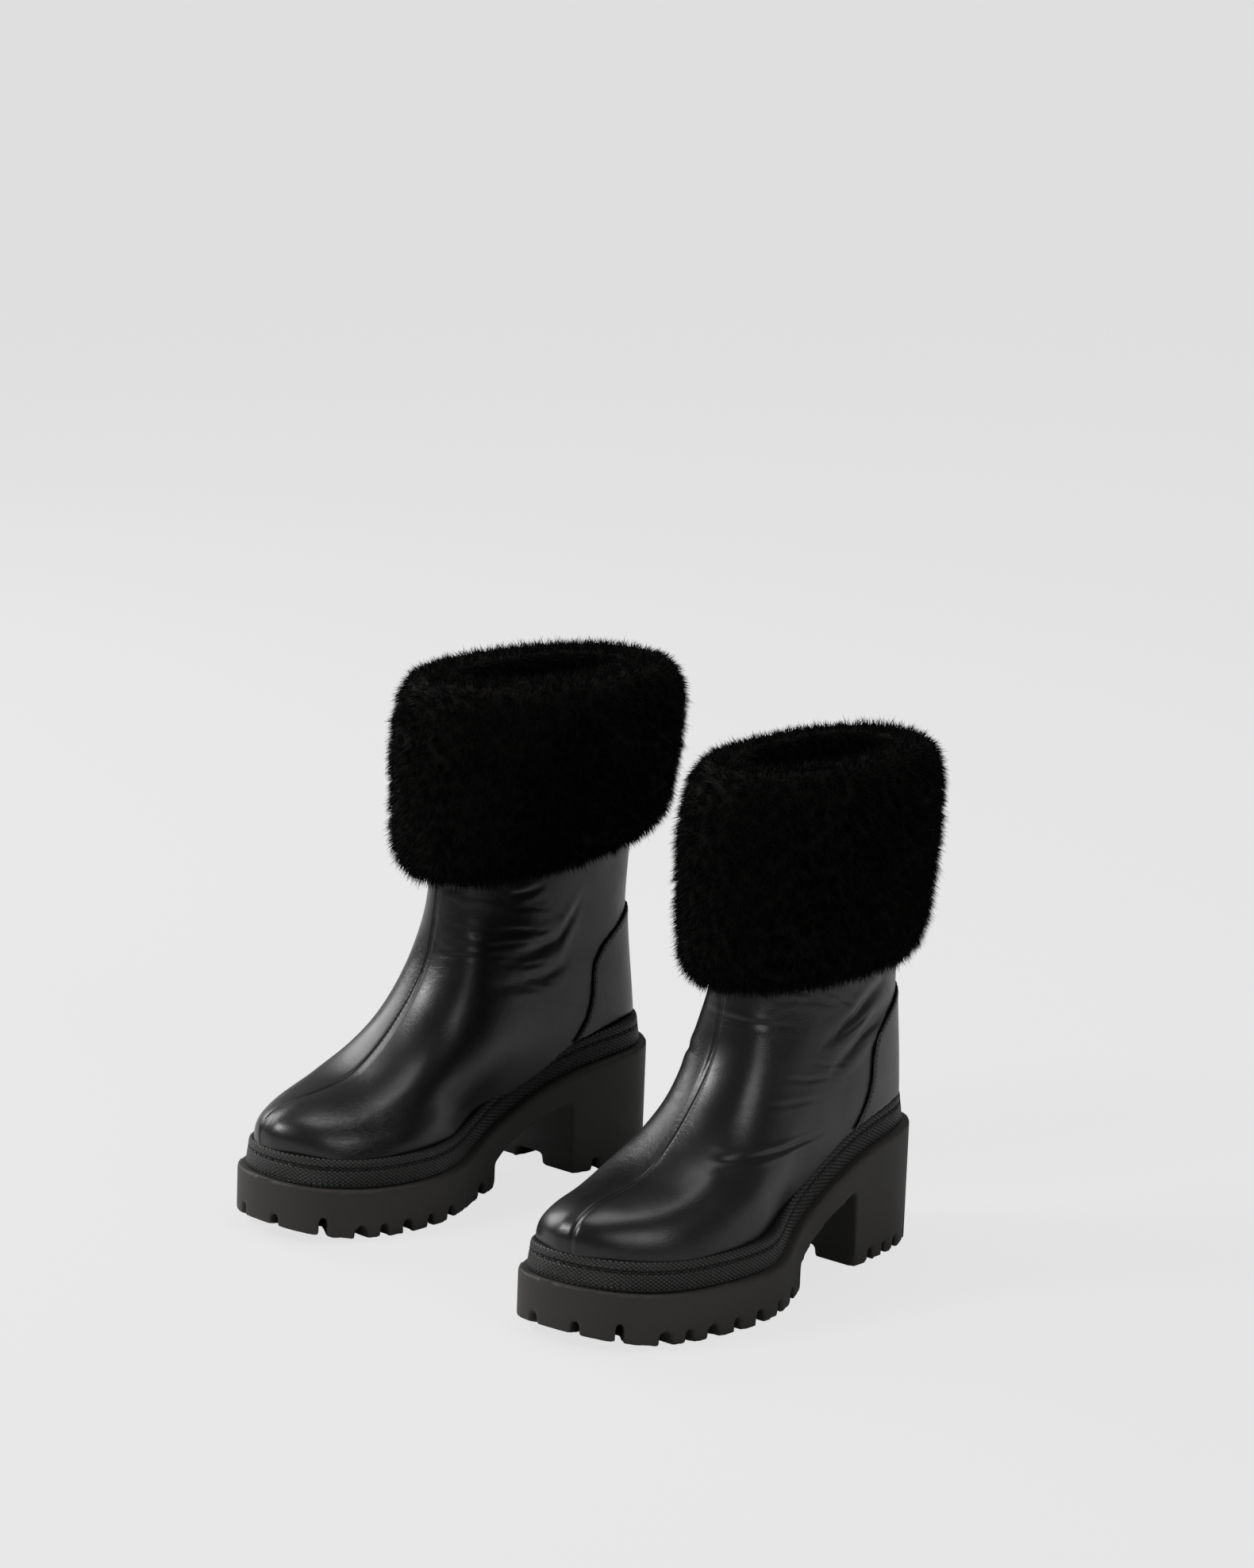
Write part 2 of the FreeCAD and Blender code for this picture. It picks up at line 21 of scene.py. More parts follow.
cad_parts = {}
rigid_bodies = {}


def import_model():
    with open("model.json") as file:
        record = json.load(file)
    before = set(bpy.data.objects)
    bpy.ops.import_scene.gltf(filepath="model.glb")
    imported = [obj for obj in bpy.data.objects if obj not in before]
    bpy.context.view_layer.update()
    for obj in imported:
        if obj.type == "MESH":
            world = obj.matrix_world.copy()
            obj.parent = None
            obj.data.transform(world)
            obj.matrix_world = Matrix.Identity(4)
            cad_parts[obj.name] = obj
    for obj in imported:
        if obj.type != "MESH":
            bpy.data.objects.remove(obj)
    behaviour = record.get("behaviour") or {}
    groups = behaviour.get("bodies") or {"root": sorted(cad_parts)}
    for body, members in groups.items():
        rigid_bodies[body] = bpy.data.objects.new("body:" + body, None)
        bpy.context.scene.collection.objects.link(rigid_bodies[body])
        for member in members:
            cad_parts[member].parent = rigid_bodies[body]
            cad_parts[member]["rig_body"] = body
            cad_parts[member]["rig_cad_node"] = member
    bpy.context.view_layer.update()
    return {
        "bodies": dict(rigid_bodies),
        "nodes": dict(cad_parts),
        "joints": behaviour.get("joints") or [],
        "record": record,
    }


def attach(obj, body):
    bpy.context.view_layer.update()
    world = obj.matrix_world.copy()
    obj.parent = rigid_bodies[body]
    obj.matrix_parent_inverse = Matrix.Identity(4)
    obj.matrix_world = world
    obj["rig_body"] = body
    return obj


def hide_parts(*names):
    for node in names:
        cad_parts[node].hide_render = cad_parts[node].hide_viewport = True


LOG = logging.getLogger("boots")
MM = 0.001
TINY = 1e-9

Colour = tuple[float, float, float, float]
Value = Union["Socket", float, Colour, tuple[float, float, float]]


def grey(level: float, warmth: float = 0.0) -> Colour:
    """A grey of one level, a little redder with warmth."""
    return (level * (1 + warmth), level, level * (1 - warmth), 1.0)


class Socket:
    """An output socket that takes part in shader arithmetic."""

    def __init__(self, shader: "Shader", socket: bpy.types.NodeSocket) -> None:
        """Keeps the socket and the shader that it belongs to."""
        self.shader = shader
        self.socket = socket

    def math(self, operation: str, *values: Value) -> "Socket":
        """Adds one Math node.

        Args:
            operation: the node's operation.
            values: its further operands.

        Returns:
            The node's result.
        """
        inputs = dict(enumerate((self,) + values))
        return self.shader.node("Math", {"operation": operation}, inputs)

    def __add__(self, other: Value) -> "Socket":
        """self + other"""
        return self.math("ADD", other)

    def __sub__(self, other: Value) -> "Socket":
        """self - other"""
        return self.math("SUBTRACT", other)

    def __rsub__(self, other: float) -> "Socket":
        """other - self"""
        return self.shader.node("Math", {"operation": "SUBTRACT"}, {0: other, 1: self})

    def __mul__(self, other: Value) -> "Socket":
        """self * other"""
        return self.math("MULTIPLY", other)

    def __abs__(self) -> "Socket":
        """abs(self)"""
        return self.math("ABSOLUTE")

    __radd__, __rmul__ = __add__, __mul__


class Shader:
    """One material and the nodes that make it."""

    def __init__(self, name: str) -> None:
        """Starts an empty material.

        Args:
            name: the material's name.
        """
        self.material = bpy.data.materials.new(name)
        self.material.use_nodes = True
        self.tree = self.material.node_tree
        self.tree.nodes.clear()

    def node(self, kind: str, settings: Optional[dict] = None, inputs: Optional[dict] = None,
             output: Union[int, str] = 0) -> Socket:
        """Adds any node.

        Args:
            kind: the node type without its ShaderNode prefix.
            settings: properties set first; "stops" holds a ramp's stops.
            inputs: values or sockets by input name or number.
            output: which output to return.

        Returns:
            The chosen output.
        """
        made = self.tree.nodes.new("ShaderNode" + kind)
        for key, value in (settings or {}).items():
            if key == "stops":
                self._set_stops(made.color_ramp, value)
            else:
                setattr(made, key, value)
        for key, value in (inputs or {}).items():
            if isinstance(value, Socket):
                self.tree.links.new(value.socket, made.inputs[key])
            else:
                made.inputs[key].default_value = value
        return Socket(self, made.outputs[output])

    @staticmethod
    def _set_stops(ramp: bpy.types.ColorRamp, stops: Sequence[tuple[float, float]]) -> None:
        """Gives a ramp its stops, each a place and a grey level.

        Args:
            ramp: the ramp.
            stops: places and grey levels.
        """
        while len(ramp.elements) > 1:
            ramp.elements.remove(ramp.elements[-1])
        for number, (place, level) in enumerate(stops):
            stop = ramp.elements[0] if number == 0 else ramp.elements.new(place)
            stop.position = place
            stop.color = grey(level)

    def object_place(self) -> Socket:
        """Object coordinates, in metres."""
        return self.node("TexCoord", output="Object")

    def uv(self, axis: int) -> Socket:
        """One component of the piece's UV map."""
        return self.node("SeparateXYZ", inputs={0: self.node("TexCoord", output="UV")}, output=axis)

    def noise(self, place: Socket, size: float, detail: float = 2.0, rough: float = 0.5) -> Socket:
        """Noise whose features are about size millimetres."""
        inputs = {"Vector": place, "Scale": 1.0 / (size * MM), "Detail": detail, "Roughness": rough}
        return self.node("TexNoise", inputs=inputs)

    def cells(self, place: Socket, size: float) -> Socket:
        """Distance in a pattern of cells about size millimetres wide."""
        return self.node("TexVoronoi", inputs={"Vector": place, "Scale": 1.0 / (size * MM)})

    def ramp(self, factor: Value, stops: Sequence[tuple[float, float]]) -> Socket:
        """Maps a value through grey stops."""
        return self.node("ValToRGB", {"stops": stops}, {0: factor})

    def mix(self, factor: Value, first: Value, second: Value) -> Socket:
        """Mixes two colours."""
        settings = {"data_type": "RGBA", "clamp_factor": True}
        return self.node("Mix", settings, {0: factor, 6: first, 7: second}, output=2)

    def greys(self, factor: Value, level: float, low: float, high: float, warmth: float = 0.0) -> Socket:
        """Mixes two greys, which are low and high times a level."""
        return self.mix(factor, grey(level * low, warmth), grey(level * high, warmth))

    def bump(self, height: Socket, depth: float, strength: float = 1.0,
             under: Optional[Socket] = None) -> Socket:
        """Adds relief of a depth in millimetres, over another relief if one is given.

        Args:
            height: the relief's form.
            depth: its depth.
            strength: how much of it shows.
            under: the relief below it.

        Returns:
            The normal.
        """
        inputs: dict = {"Height": height, "Distance": depth * MM, "Strength": strength}
        if under is not None:
            inputs["Normal"] = under
        return self.node("Bump", inputs=inputs)

    def surface(self, colour: Value, roughness: Value, normal: Optional[Socket] = None,
                **constants: float) -> bpy.types.Material:
        """Closes the material with a Principled surface.

        Args:
            colour: base colour.
            roughness: roughness.
            normal: relief.
            constants: plain numbers for further sockets, spaces written as _.

        Returns:
            The finished material.
        """
        inputs: dict = {"Base Color": colour, "Roughness": roughness}
        if normal is not None:
            inputs["Normal"] = normal
        inputs.update({key.replace("_", " "): value for key, value in constants.items()})
        closure = self.node("BsdfPrincipled", inputs=inputs)
        self.node_output(closure)
        return self.material

    def node_output(self, closure: Socket) -> None:
        """Connects a closure to the material's output."""
        end = self.tree.nodes.new("ShaderNodeOutputMaterial")
        self.tree.links.new(closure.socket, end.inputs["Surface"])


class Surface:
    """What every finish shares."""

    def material(self, name: str) -> bpy.types.Material:
        """Builds the material under a name."""
        shader = Shader(name)
        return self.shade(shader, shader.object_place())


@dataclass(frozen=True)
class Leather(Surface):
    """Smooth black leather with a fine grain and a soft sheen."""

    level: float = 0.0045
    roughness: float = 0.34
    grain: float = 1.1
    grain_depth: float = 0.05
    crease_size: float = 9.0

    def shade(self, shader: Shader, place: Socket) -> bpy.types.Material:
        """Wires the grain, pores, fine creases and wear.

        Args:
            shader: the material's shader.
            place: object coordinates.

        Returns:
            The finished material.
        """
        stretched = shader.node("Mapping", inputs={"Vector": place, "Scale": (1.0, 1.0, 2.6)})
        grain = shader.cells(place, self.grain)
        pores = shader.noise(place, 0.35, 2.0)
        fine_creases = shader.noise(stretched, self.crease_size, 6.0, 0.62)
        patches = shader.ramp(shader.noise(place, 55.0, 2.0), [(0.42, 0.0), (0.68, 1.0)])
        lines = shader.ramp(fine_creases, [(0.44, 1.0), (0.5, 0.0), (0.56, 1.0)])
        relief = shader.bump(grain + pores * 0.5, self.grain_depth, 0.35)
        relief = shader.bump(lines * patches, 0.12, 0.35, relief)
        relief = shader.bump(shader.noise(place, 22.0, 2.0), 0.5, 0.15, relief)
        worn = shader.noise(place, 30.0, 4.0)
        colour = shader.mix(worn, grey(self.level, 0.02), grey(self.level * 1.7, 0.03))
        roughness = shader.noise(place, 12.0, 3.0) * 0.12 + (self.roughness - 0.06)
        return shader.surface(colour, roughness, relief, Coat_Weight=0.04, Coat_Roughness=0.2)


@dataclass(frozen=True)
class Rubber(Surface):
    """Matt moulded rubber, warm dark grey and faintly mottled."""

    level: float = 0.027
    warmth: float = 0.08
    roughness: float = 0.62
    texture: float = 0.6

    def shade(self, shader: Shader, place: Socket) -> bpy.types.Material:
        """Wires the mottling, dust and mould texture.

        Args:
            shader: the material's shader.
            place: object coordinates.

        Returns:
            The finished material.
        """
        mottling = shader.noise(place, 18.0, 5.0, 0.6)
        dust = shader.noise(place, 3.0, 4.0, 0.7)
        colour = shader.greys(mottling * 0.6 + dust * 0.4, self.level, 0.75, 1.3, self.warmth)
        roughness = mottling * 0.16 + (self.roughness - 0.08)
        relief = shader.bump(shader.noise(place, self.texture, 3.0, 0.6), 0.05, 0.5)
        relief = shader.bump(shader.noise(place, 14.0, 2.0), 0.25, 0.3, relief)
        return shader.surface(colour, roughness, relief, Specular_IOR_Level=0.4)


@dataclass(frozen=True)
class KnurledRubber(Surface):
    """Rubber with a diamond knurl that follows the piece's UV map, in millimetres.

    Attributes:
        slant: how much steeper than wide a diamond is.
        flat_top: knurl value above which the diamonds are flat.
    """

    level: float = 0.019
    warmth: float = 0.05
    pitch: float = 2.9
    slant: float = 1.5
    flat_top: float = 0.55
    depth: float = 1.3
    roughness: float = 0.5

    def shade(self, shader: Shader, place: Socket) -> bpy.types.Material:
        """Wires two crossing waves into diamonds, with painted shade in the grooves between them.

        Args:
            shader: the material's shader.
            place: object coordinates.

        Returns:
            The finished material.
        """
        along, up = shader.uv(0), shader.uv(1)
        half_turn = math.pi / self.pitch
        one_way = abs(((along + up * self.slant) * half_turn).math("SINE"))
        other_way = abs(((along - up * self.slant) * half_turn).math("SINE"))
        height = one_way.math("MINIMUM", other_way).math("MINIMUM", self.flat_top)
        relief = shader.bump(height, self.depth, 1.0)
        relief = shader.bump(shader.noise(place, 0.5, 3.0), 0.04, 0.4, relief)
        wear = shader.noise(place, 9.0, 4.0)
        # painted shade: the colour darkens with the knurl's height toward the grooves; the wear noise varies
        # the tone of the diamond tops
        colour = shader.greys(height * (wear * 0.6 + 1.3), self.level, 0.12, 1.9, self.warmth)
        roughness = wear * 0.14 + (self.roughness - 0.07)
        return shader.surface(colour, roughness, relief, Specular_IOR_Level=0.45)


@dataclass(frozen=True)
class Fur(Surface):
    """Dense black fur, a little brown in its lighter tufts."""

    level: float = 0.0022
    roughness: float = 0.6

    def shade(self, shader: Shader, place: Socket) -> bpy.types.Material:
        """Wires the tufts and strands.

        Args:
            shader: the material's shader.
            place: object coordinates.

        Returns:
            The finished material.
        """
        tufts = shader.noise(place, 7.0, 4.0, 0.65)
        strands = shader.noise(place, 0.9, 3.0, 0.7)
        colour = shader.mix(tufts * strands * 1.6, grey(self.level * 0.6, 0.05), grey(self.level * 3.0, 0.16))
        relief = shader.bump(strands + tufts, 0.6, 0.6)
        roughness = strands * 0.2 + (self.roughness - 0.1)
        return shader.surface(colour, roughness, relief, Specular_IOR_Level=0.05)


@dataclass(frozen=True)
class Thread(Surface):
    """Twisted sewing thread."""

    level: float = 0.005
    twist: float = 3.0

    def shade(self, shader: Shader, place: Socket) -> bpy.types.Material:
        """Wires slanting bands for the twist.

        Args:
            shader: the material's shader.
            place: object coordinates.

        Returns:
            The finished material.
        """
        settings = {"wave_type": "BANDS", "bands_direction": "DIAGONAL"}
        twist = shader.node("TexWave", settings,
                            {"Vector": place, "Scale": 1.0 / (self.twist * MM), "Distortion": 1.5})
        colour = shader.greys(twist, self.level, 0.6, 1.5, 0.04)
        return shader.surface(colour, twist * 0.2 + 0.45, shader.bump(twist, 0.08, 0.6))


@dataclass(frozen=True)
class Textile(Surface):
    """Knitted or woven textile of one colour."""

    level: float = 0.03
    warmth: float = 0.03
    pitch: float = 0.9

    def shade(self, shader: Shader, place: Socket) -> bpy.types.Material:
        """Wires crossing waves and fluff.

        Args:
            shader: the material's shader.
            place: object coordinates.

        Returns:
            The finished material.
        """
        inputs = {"Vector": place, "Scale": 0.16 / (self.pitch * MM)}
        rows, ribs = (shader.node("TexWave", {"bands_direction": way}, inputs) for way in "ZY")
        weave = rows * ribs
        fluff = shader.noise(place, 2.0, 5.0, 0.7)
        colour = shader.greys(weave * 0.6 + fluff * 0.4, self.level, 0.6, 1.4, self.warmth)
        relief = shader.bump(fluff, 0.1, 0.4, shader.bump(weave, 0.2, 0.6))
        return shader.surface(colour, fluff * 0.1 + 0.8, relief, Sheen_Weight=0.15)


@dataclass(frozen=True)
class Board(Surface):
    """Pressed fibre or cork with visible grains."""

    light: Colour = (0.4, 0.3, 0.19, 1.0)
    dark: Colour = (0.2, 0.14, 0.08, 1.0)
    grain: float = 2.2

    def shade(self, shader: Shader, place: Socket) -> bpy.types.Material:
        """Wires grains and specks.

        Args:
            shader: the material's shader.
            place: object coordinates.

        Returns:
            The finished material.
        """
        grains = shader.cells(place, self.grain)
        specks = shader.noise(place, 0.8, 4.0, 0.7)
        colour = shader.mix(grains * 0.7 + specks * 0.3, self.light, self.dark)
        return shader.surface(colour, specks * 0.15 + 0.75, shader.bump(grains + specks, 0.25, 0.5))


@dataclass(frozen=True)
class Steel(Surface):
    """Rolled spring steel with fine lines along its length."""

    level: float = 0.42

    def shade(self, shader: Shader, place: Socket) -> bpy.types.Material:
        """Wires drawn-out lines.

        Args:
            shader: the material's shader.
            place: object coordinates.

        Returns:
            The finished material.
        """
        drawn = shader.node("Mapping", inputs={"Vector": place, "Scale": (1.0, 0.03, 1.0)})
        lines = shader.noise(drawn, 0.4, 3.0)
        colour = shader.greys(lines, self.level, 0.8, 1.15)
        return shader.surface(colour, lines * 0.2 + 0.28, shader.bump(lines, 0.02, 0.3), Metallic=1.0)


@dataclass(frozen=True)
class Plastic(Surface):
    """Moulded plastic with a fine spark texture."""

    level: float = 0.3

    def shade(self, shader: Shader, place: Socket) -> bpy.types.Material:
        """Wires the spark texture and flow marks.

        Args:
            shader: the material's shader.
            place: object coordinates.

        Returns:
            The finished material.
        """
        spark = shader.noise(place, 0.5, 3.0)
        colour = shader.greys(shader.noise(place, 25.0, 2.0), self.level, 0.9, 1.1, 0.03)
        return shader.surface(colour, spark * 0.1 + 0.45, shader.bump(spark, 0.03, 0.5))


class Finish(Enum):
    """Every finish of the boots."""

    LEATHER = Leather()
    PAD_LEATHER = Leather(level=0.012, roughness=0.45)
    HIDE = Leather(level=0.02, roughness=0.7, grain=1.8)
    SOLE = Rubber()
    RAND = KnurledRubber()
    FUR = Fur()
    THREAD = Thread()
    LINING = Textile()
    FOOTBED = Textile(level=0.02, pitch=1.4)
    INTERLINING = Textile(level=0.45, pitch=1.2)
    STIFFENER = Textile(level=0.36, warmth=0.08, pitch=0.7)
    CORK = Board()
    FIBRE = Board((0.42, 0.34, 0.24, 1.0), (0.3, 0.23, 0.15, 1.0), 1.1)
    STEEL = Steel()
    CORE = Plastic()

    def material(self) -> bpy.types.Material:
        """The finish's material, made once."""
        name = self.name.lower() + "_finish"
        return bpy.data.materials.get(name) or self.value.material(name)


CAD_FINISHES = {
    "sole_unit": Finish.SOLE, "rand_band": Finish.RAND, "heel_core": Finish.CORE, "shank": Finish.STEEL,
    "bottom_filler": Finish.CORK, "insole_board": Finish.FIBRE, "footbed": Finish.FOOTBED,
    "heel_pad": Finish.PAD_LEATHER, "lateral_panel": Finish.LEATHER, "medial_panel": Finish.LEATHER,
    "back_counter": Finish.LEATHER, "toe_puff": Finish.STIFFENER, "heel_stiffener": Finish.STIFFENER,
    "interlining": Finish.INTERLINING, "foot_lining": Finish.LINING, "shaft_lining": Finish.LINING,
    "cuff_skin": Finish.HIDE, "fur_cuff": Finish.FUR,
}


def deselect() -> None:
    """Clears the selection, because operators act on all that is selected."""
    if bpy.context.object and bpy.context.object.mode != "OBJECT":
        bpy.ops.object.mode_set(mode="OBJECT")
    bpy.ops.object.select_all(action="DESELECT")


def pick(piece: bpy.types.Object) -> bpy.types.Object:
    """Makes one object the only selected and the active one.

    Args:
        piece: the object.

    Returns:
        The same object.
    """
    deselect()
    piece.select_set(True)
    bpy.context.view_layer.objects.active = piece
    return piece


def add_modifier(piece: bpy.types.Object, kind: str, **settings: object) -> None:
    """Adds a modifier and applies it at once.

    Args:
        piece: the object.
        kind: the modifier's type.
        settings: its properties.
    """
    pick(piece)
    made = piece.modifiers.new(kind.lower(), kind)
    for key, value in settings.items():
        setattr(made, key, value)
    bpy.ops.object.modifier_apply(modifier=made.name)


def dress(piece: bpy.types.Object, finish: Finish) -> bpy.types.Object:
    """Gives an object one finish all over.

    Args:
        piece: the object.
        finish: its only finish.

    Returns:
        The same object.
    """
    piece.data.materials.clear()
    piece.data.materials.append(finish.material())
    return piece


def mesh_of(name: str, points: np.ndarray, *face_sets: np.ndarray) -> bpy.types.Mesh:
    """Fills a smooth-shaded mesh from arrays.

    Args:
        name: the mesh's name.
        points: vertex places in metres.
        face_sets: arrays of faces, each array with one number of corners.

    Returns:
        The mesh.
    """
    mesh = bpy.data.meshes.new(name)
    corners = np.concatenate([faces.reshape(-1) for faces in face_sets])
    sizes = np.concatenate([np.full(len(faces), faces.shape[1]) for faces in face_sets])
    mesh.vertices.add(len(points))
    mesh.vertices.foreach_set("co", points.astype(np.float32).reshape(-1))
    mesh.loops.add(len(corners))
    mesh.loops.foreach_set("vertex_index", corners.astype(np.int32))
    mesh.polygons.add(len(sizes))
    mesh.polygons.foreach_set("loop_start", np.concatenate(([0], np.cumsum(sizes)[:-1])).astype(np.int32))
    mesh.update(calc_edges=True)
    mesh.validate()
    mesh.shade_smooth()
    return mesh


def vertex_data(mesh: bpy.types.Mesh, attribute: str) -> np.ndarray:
    """One attribute of every vertex, as rows of three.

    Args:
        mesh: the mesh.
        attribute: such as co or normal.

    Returns:
        The rows, one per vertex.
    """
    values = np.empty(len(mesh.vertices) * 3)
    mesh.vertices.foreach_get(attribute, values)
    return values.reshape(-1, 3)


def show(mesh: bpy.types.Mesh, finish: "Finish") -> bpy.types.Object:
    """Links a mesh as an object in one finish.

    Args:
        mesh: the mesh.
        finish: the finish.

    Returns:
        The object.
    """
    made = bpy.data.objects.new(mesh.name, mesh)
    bpy.context.scene.collection.objects.link(made)
    return dress(made, finish)


@dataclass(frozen=True)
class Boot:
    """One boot's place in the pair.

    Attributes:
        name: left or right, as the nodes are named.
        side: 1 for the left boot, -1 for the right one.
        heel: row position of the heel point, in metres.
    """

    name: str
    side: int
    heel: tuple[float, float]
    toe_out: float = 3.0

    def to_row(self, points: np.ndarray) -> np.ndarray:
        """Turns boot points in millimetres into row points in metres.

        Args:
            points: rows of u, v and z.

        Returns:
            Rows of x, y and z.
        """
        turn = math.radians(self.toe_out) * self.side
        x, y = points[:, 1] * self.side * MM, -points[:, 0] * MM
        row_x = x * math.cos(turn) - y * math.sin(turn) + self.heel[0]
        row_y = x * math.sin(turn) + y * math.cos(turn) + self.heel[1]
        return np.column_stack((row_x, row_y, points[:, 2] * MM))

    def to_boot(self, points: np.ndarray) -> np.ndarray:
        """Turns row points in metres into boot points in millimetres.

        Args:
            points: rows of x, y and z.

        Returns:
            Rows of u, v and z.
        """
        turn = math.radians(self.toe_out) * self.side
        x, y = points[:, 0] - self.heel[0], points[:, 1] - self.heel[1]
        across = x * math.cos(turn) + y * math.sin(turn)
        along = -x * math.sin(turn) + y * math.cos(turn)
        return np.column_stack((-along, across * self.side, points[:, 2])) / MM

    def node(self, part: str) -> str:
        """Name of this boot's node for a part."""
        return f"{self.name}_{part}"

    def node_mesh(self, frame: dict, *parts: str) -> tuple[np.ndarray, list[tuple[int, ...]]]:
        """Boot points and faces of one or more CAD nodes joined.

        Args:
            frame: the loaded frame.
            parts: the parts' names.

        Returns:
            The points and the faces.
        """
        points, faces, start = [], [], 0
        for part in parts:
            mesh = frame["nodes"][self.node(part)].data
            points.append(self.to_boot(vertex_data(mesh, "co")))
            faces += [tuple(start + i for i in polygon.vertices) for polygon in mesh.polygons]
            start += len(mesh.vertices)
        return np.vstack(points), faces

    def piece(self, label: str, points: np.ndarray, faces: np.ndarray, finish: Finish,
              slot: str) -> bpy.types.Object:
        """Makes an object from boot points, riding on the boots' one body.

        Args:
            label: the object's name after the boot's.
            points: boot points in millimetres.
            faces: faces that point outward on the left boot, one array.
            finish: its finish.
            slot: passed to seat, which does not use it.

        Returns:
            The object.
        """
        turned = faces if self.side > 0 else faces[:, ::-1]
        made = show(mesh_of(self.node(label), self.to_row(points), turned), finish)
        return self.seat(made, slot)

    @staticmethod
    def seat(piece: bpy.types.Object, slot: str) -> bpy.types.Object:
        """Lets a piece ride on the boots' one body.

        Args:
            piece: the piece.
            slot: not used.

        Returns:
            The same piece.
        """
        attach(piece, "root")
        return piece

    def remeshed_copy(self, frame: dict, part: str, label: str, voxel: float, smoothing: int,
                      finish: Finish) -> bpy.types.Object:
        """Closed copy of a CAD node with softened edges.

        Args:
            frame: the loaded frame.
            part: the node's part name.
            label: the copy's name after the boot's.
            voxel: remesh size in millimetres.
            smoothing: rounds of smoothing.
            finish: its finish.

        Returns:
            The copy.
        """
        copy = frame["nodes"][self.node(part)].copy()
        copy.data = copy.data.copy()
        copy.parent = None
        copy.name = self.node(label)
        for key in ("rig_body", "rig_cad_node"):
            if key in copy:
                del copy[key]
        bpy.context.scene.collection.objects.link(copy)
        pick(copy)
        bpy.ops.object.mode_set(mode="EDIT")
        bpy.ops.mesh.select_all(action="SELECT")
        bpy.ops.mesh.remove_doubles(threshold=0.00001)
        bpy.ops.object.mode_set(mode="OBJECT")
        add_modifier(copy, "REMESH", mode="VOXEL", voxel_size=voxel * MM, use_smooth_shade=True)
        add_modifier(copy, "SMOOTH", factor=0.5, iterations=smoothing)
        return dress(copy, finish)


@dataclass(frozen=True)
class Crease:
    """A fold pressed into the shaft.

    Attributes:
        route: turns round the shaft in degrees and heights; 0 faces the toe, 90 faces outward.
        ridge: height of the ridges beside the fold, in depths.
        ridge_place: how far beside the fold they run, in widths.
    """

    route: tuple[tuple[float, float], ...]
    width: float = 1.5
    depth: float = 0.7
    ridge: float = 0.45
    ridge_place: float = 2.3
    ridge_width: float = 1.3

    def push(self, points: np.ndarray, turns: np.ndarray) -> np.ndarray:
        """How far the crease moves each point outward.

        Args:
            points: boot points.
            turns: each point's turn round the shaft's axis, in degrees.

        Returns:
            Distances in millimetres.
        """
        angle, height = np.array(self.route).T
        middle = np.interp(turns, angle, height)
        inside = np.clip((turns - angle[0]) / (angle[-1] - angle[0]), 0, 1)
        fade = np.sin(np.pi * inside) ** 0.8
        away = points[:, 2] - middle
        valley = -self.depth * np.exp(-(away / self.width) ** 2)
        beside = (np.abs(away) - self.ridge_place * self.width) / (self.ridge_width * self.width)
        return (valley + self.ridge * self.depth * np.exp(-beside ** 2)) * fade


@dataclass(frozen=True)
class CreaseCluster:
    """Many short creases that run side by side.

    Attributes:
        turn: middle of the cluster round the shaft, in degrees.
        reach: typical length of a crease, in degrees.
        slope: rise of the creases, in millimetres per degree.
    """

    turn: float
    height: float
    reach: float
    spread: float
    count: int
    slope: float = 0.0
    depth: float = 0.45
    seed: int = 1

    def creases(self) -> list[Crease]:
        """Draws the creases by chance, always the same ones.

        Returns:
            The creases.
        """
        chance = np.random.default_rng(self.seed)
        drawn = []
        for _ in range(self.count):
            middle = self.turn + chance.normal(0, self.reach * 0.25)
            half = self.reach * chance.uniform(0.3, 0.6)
            base = self.height + chance.normal(0, self.spread)
            route = tuple((middle + half * share, base + self.slope * half * share + chance.normal(0, 0.7))
                          for share in (-1, -0.4, 0.3, 1))
            drawn.append(Crease(route, chance.uniform(0.9, 1.6), self.depth * chance.uniform(0.5, 1.2)))
        return drawn


def unit(vectors: np.ndarray) -> np.ndarray:
    """Vectors along the last axis, each brought to length one."""
    return vectors / np.maximum(np.linalg.norm(vectors, axis=-1, keepdims=True), TINY)


def travelled_along(path: np.ndarray) -> np.ndarray:
    """Distance travelled from a path's start to each of its points."""
    return np.concatenate(([0.0], np.cumsum(np.linalg.norm(np.diff(path, axis=0), axis=1))))


def at_places(path: np.ndarray, travelled: np.ndarray, places: np.ndarray) -> np.ndarray:
    """What a path's data is at some travelled distances."""
    return np.column_stack([np.interp(places, travelled, row) for row in path.T])


def evenly(path: np.ndarray) -> np.ndarray:
    """Spaces as many points evenly along a path, between the same ends."""
    travelled = travelled_along(path)
    return at_places(path, travelled, np.linspace(0, travelled[-1], len(path)))


def blurred(loop: np.ndarray, rounds: int) -> np.ndarray:
    """Averages the values of a closed loop with their neighbours, some times over.

    Args:
        loop: the values, the last beside the first.
        rounds: how often.

    Returns:
        The averages.
    """
    for _ in range(rounds):
        loop = loop * 0.5 + (np.roll(loop, 1, 0) + np.roll(loop, -1, 0)) * 0.25
    return loop


def pull(grid: np.ndarray) -> np.ndarray:
    """Way from each point of a grid closed along its second axis to its neighbours' middle.

    Args:
        grid: the points.

    Returns:
        One way per point.
    """
    change = (np.roll(grid, 1, 1) + np.roll(grid, -1, 1)) / 2 - grid
    change[1:-1] += (grid[:-2] + grid[2:]) / 2 - grid[1:-1]
    return change


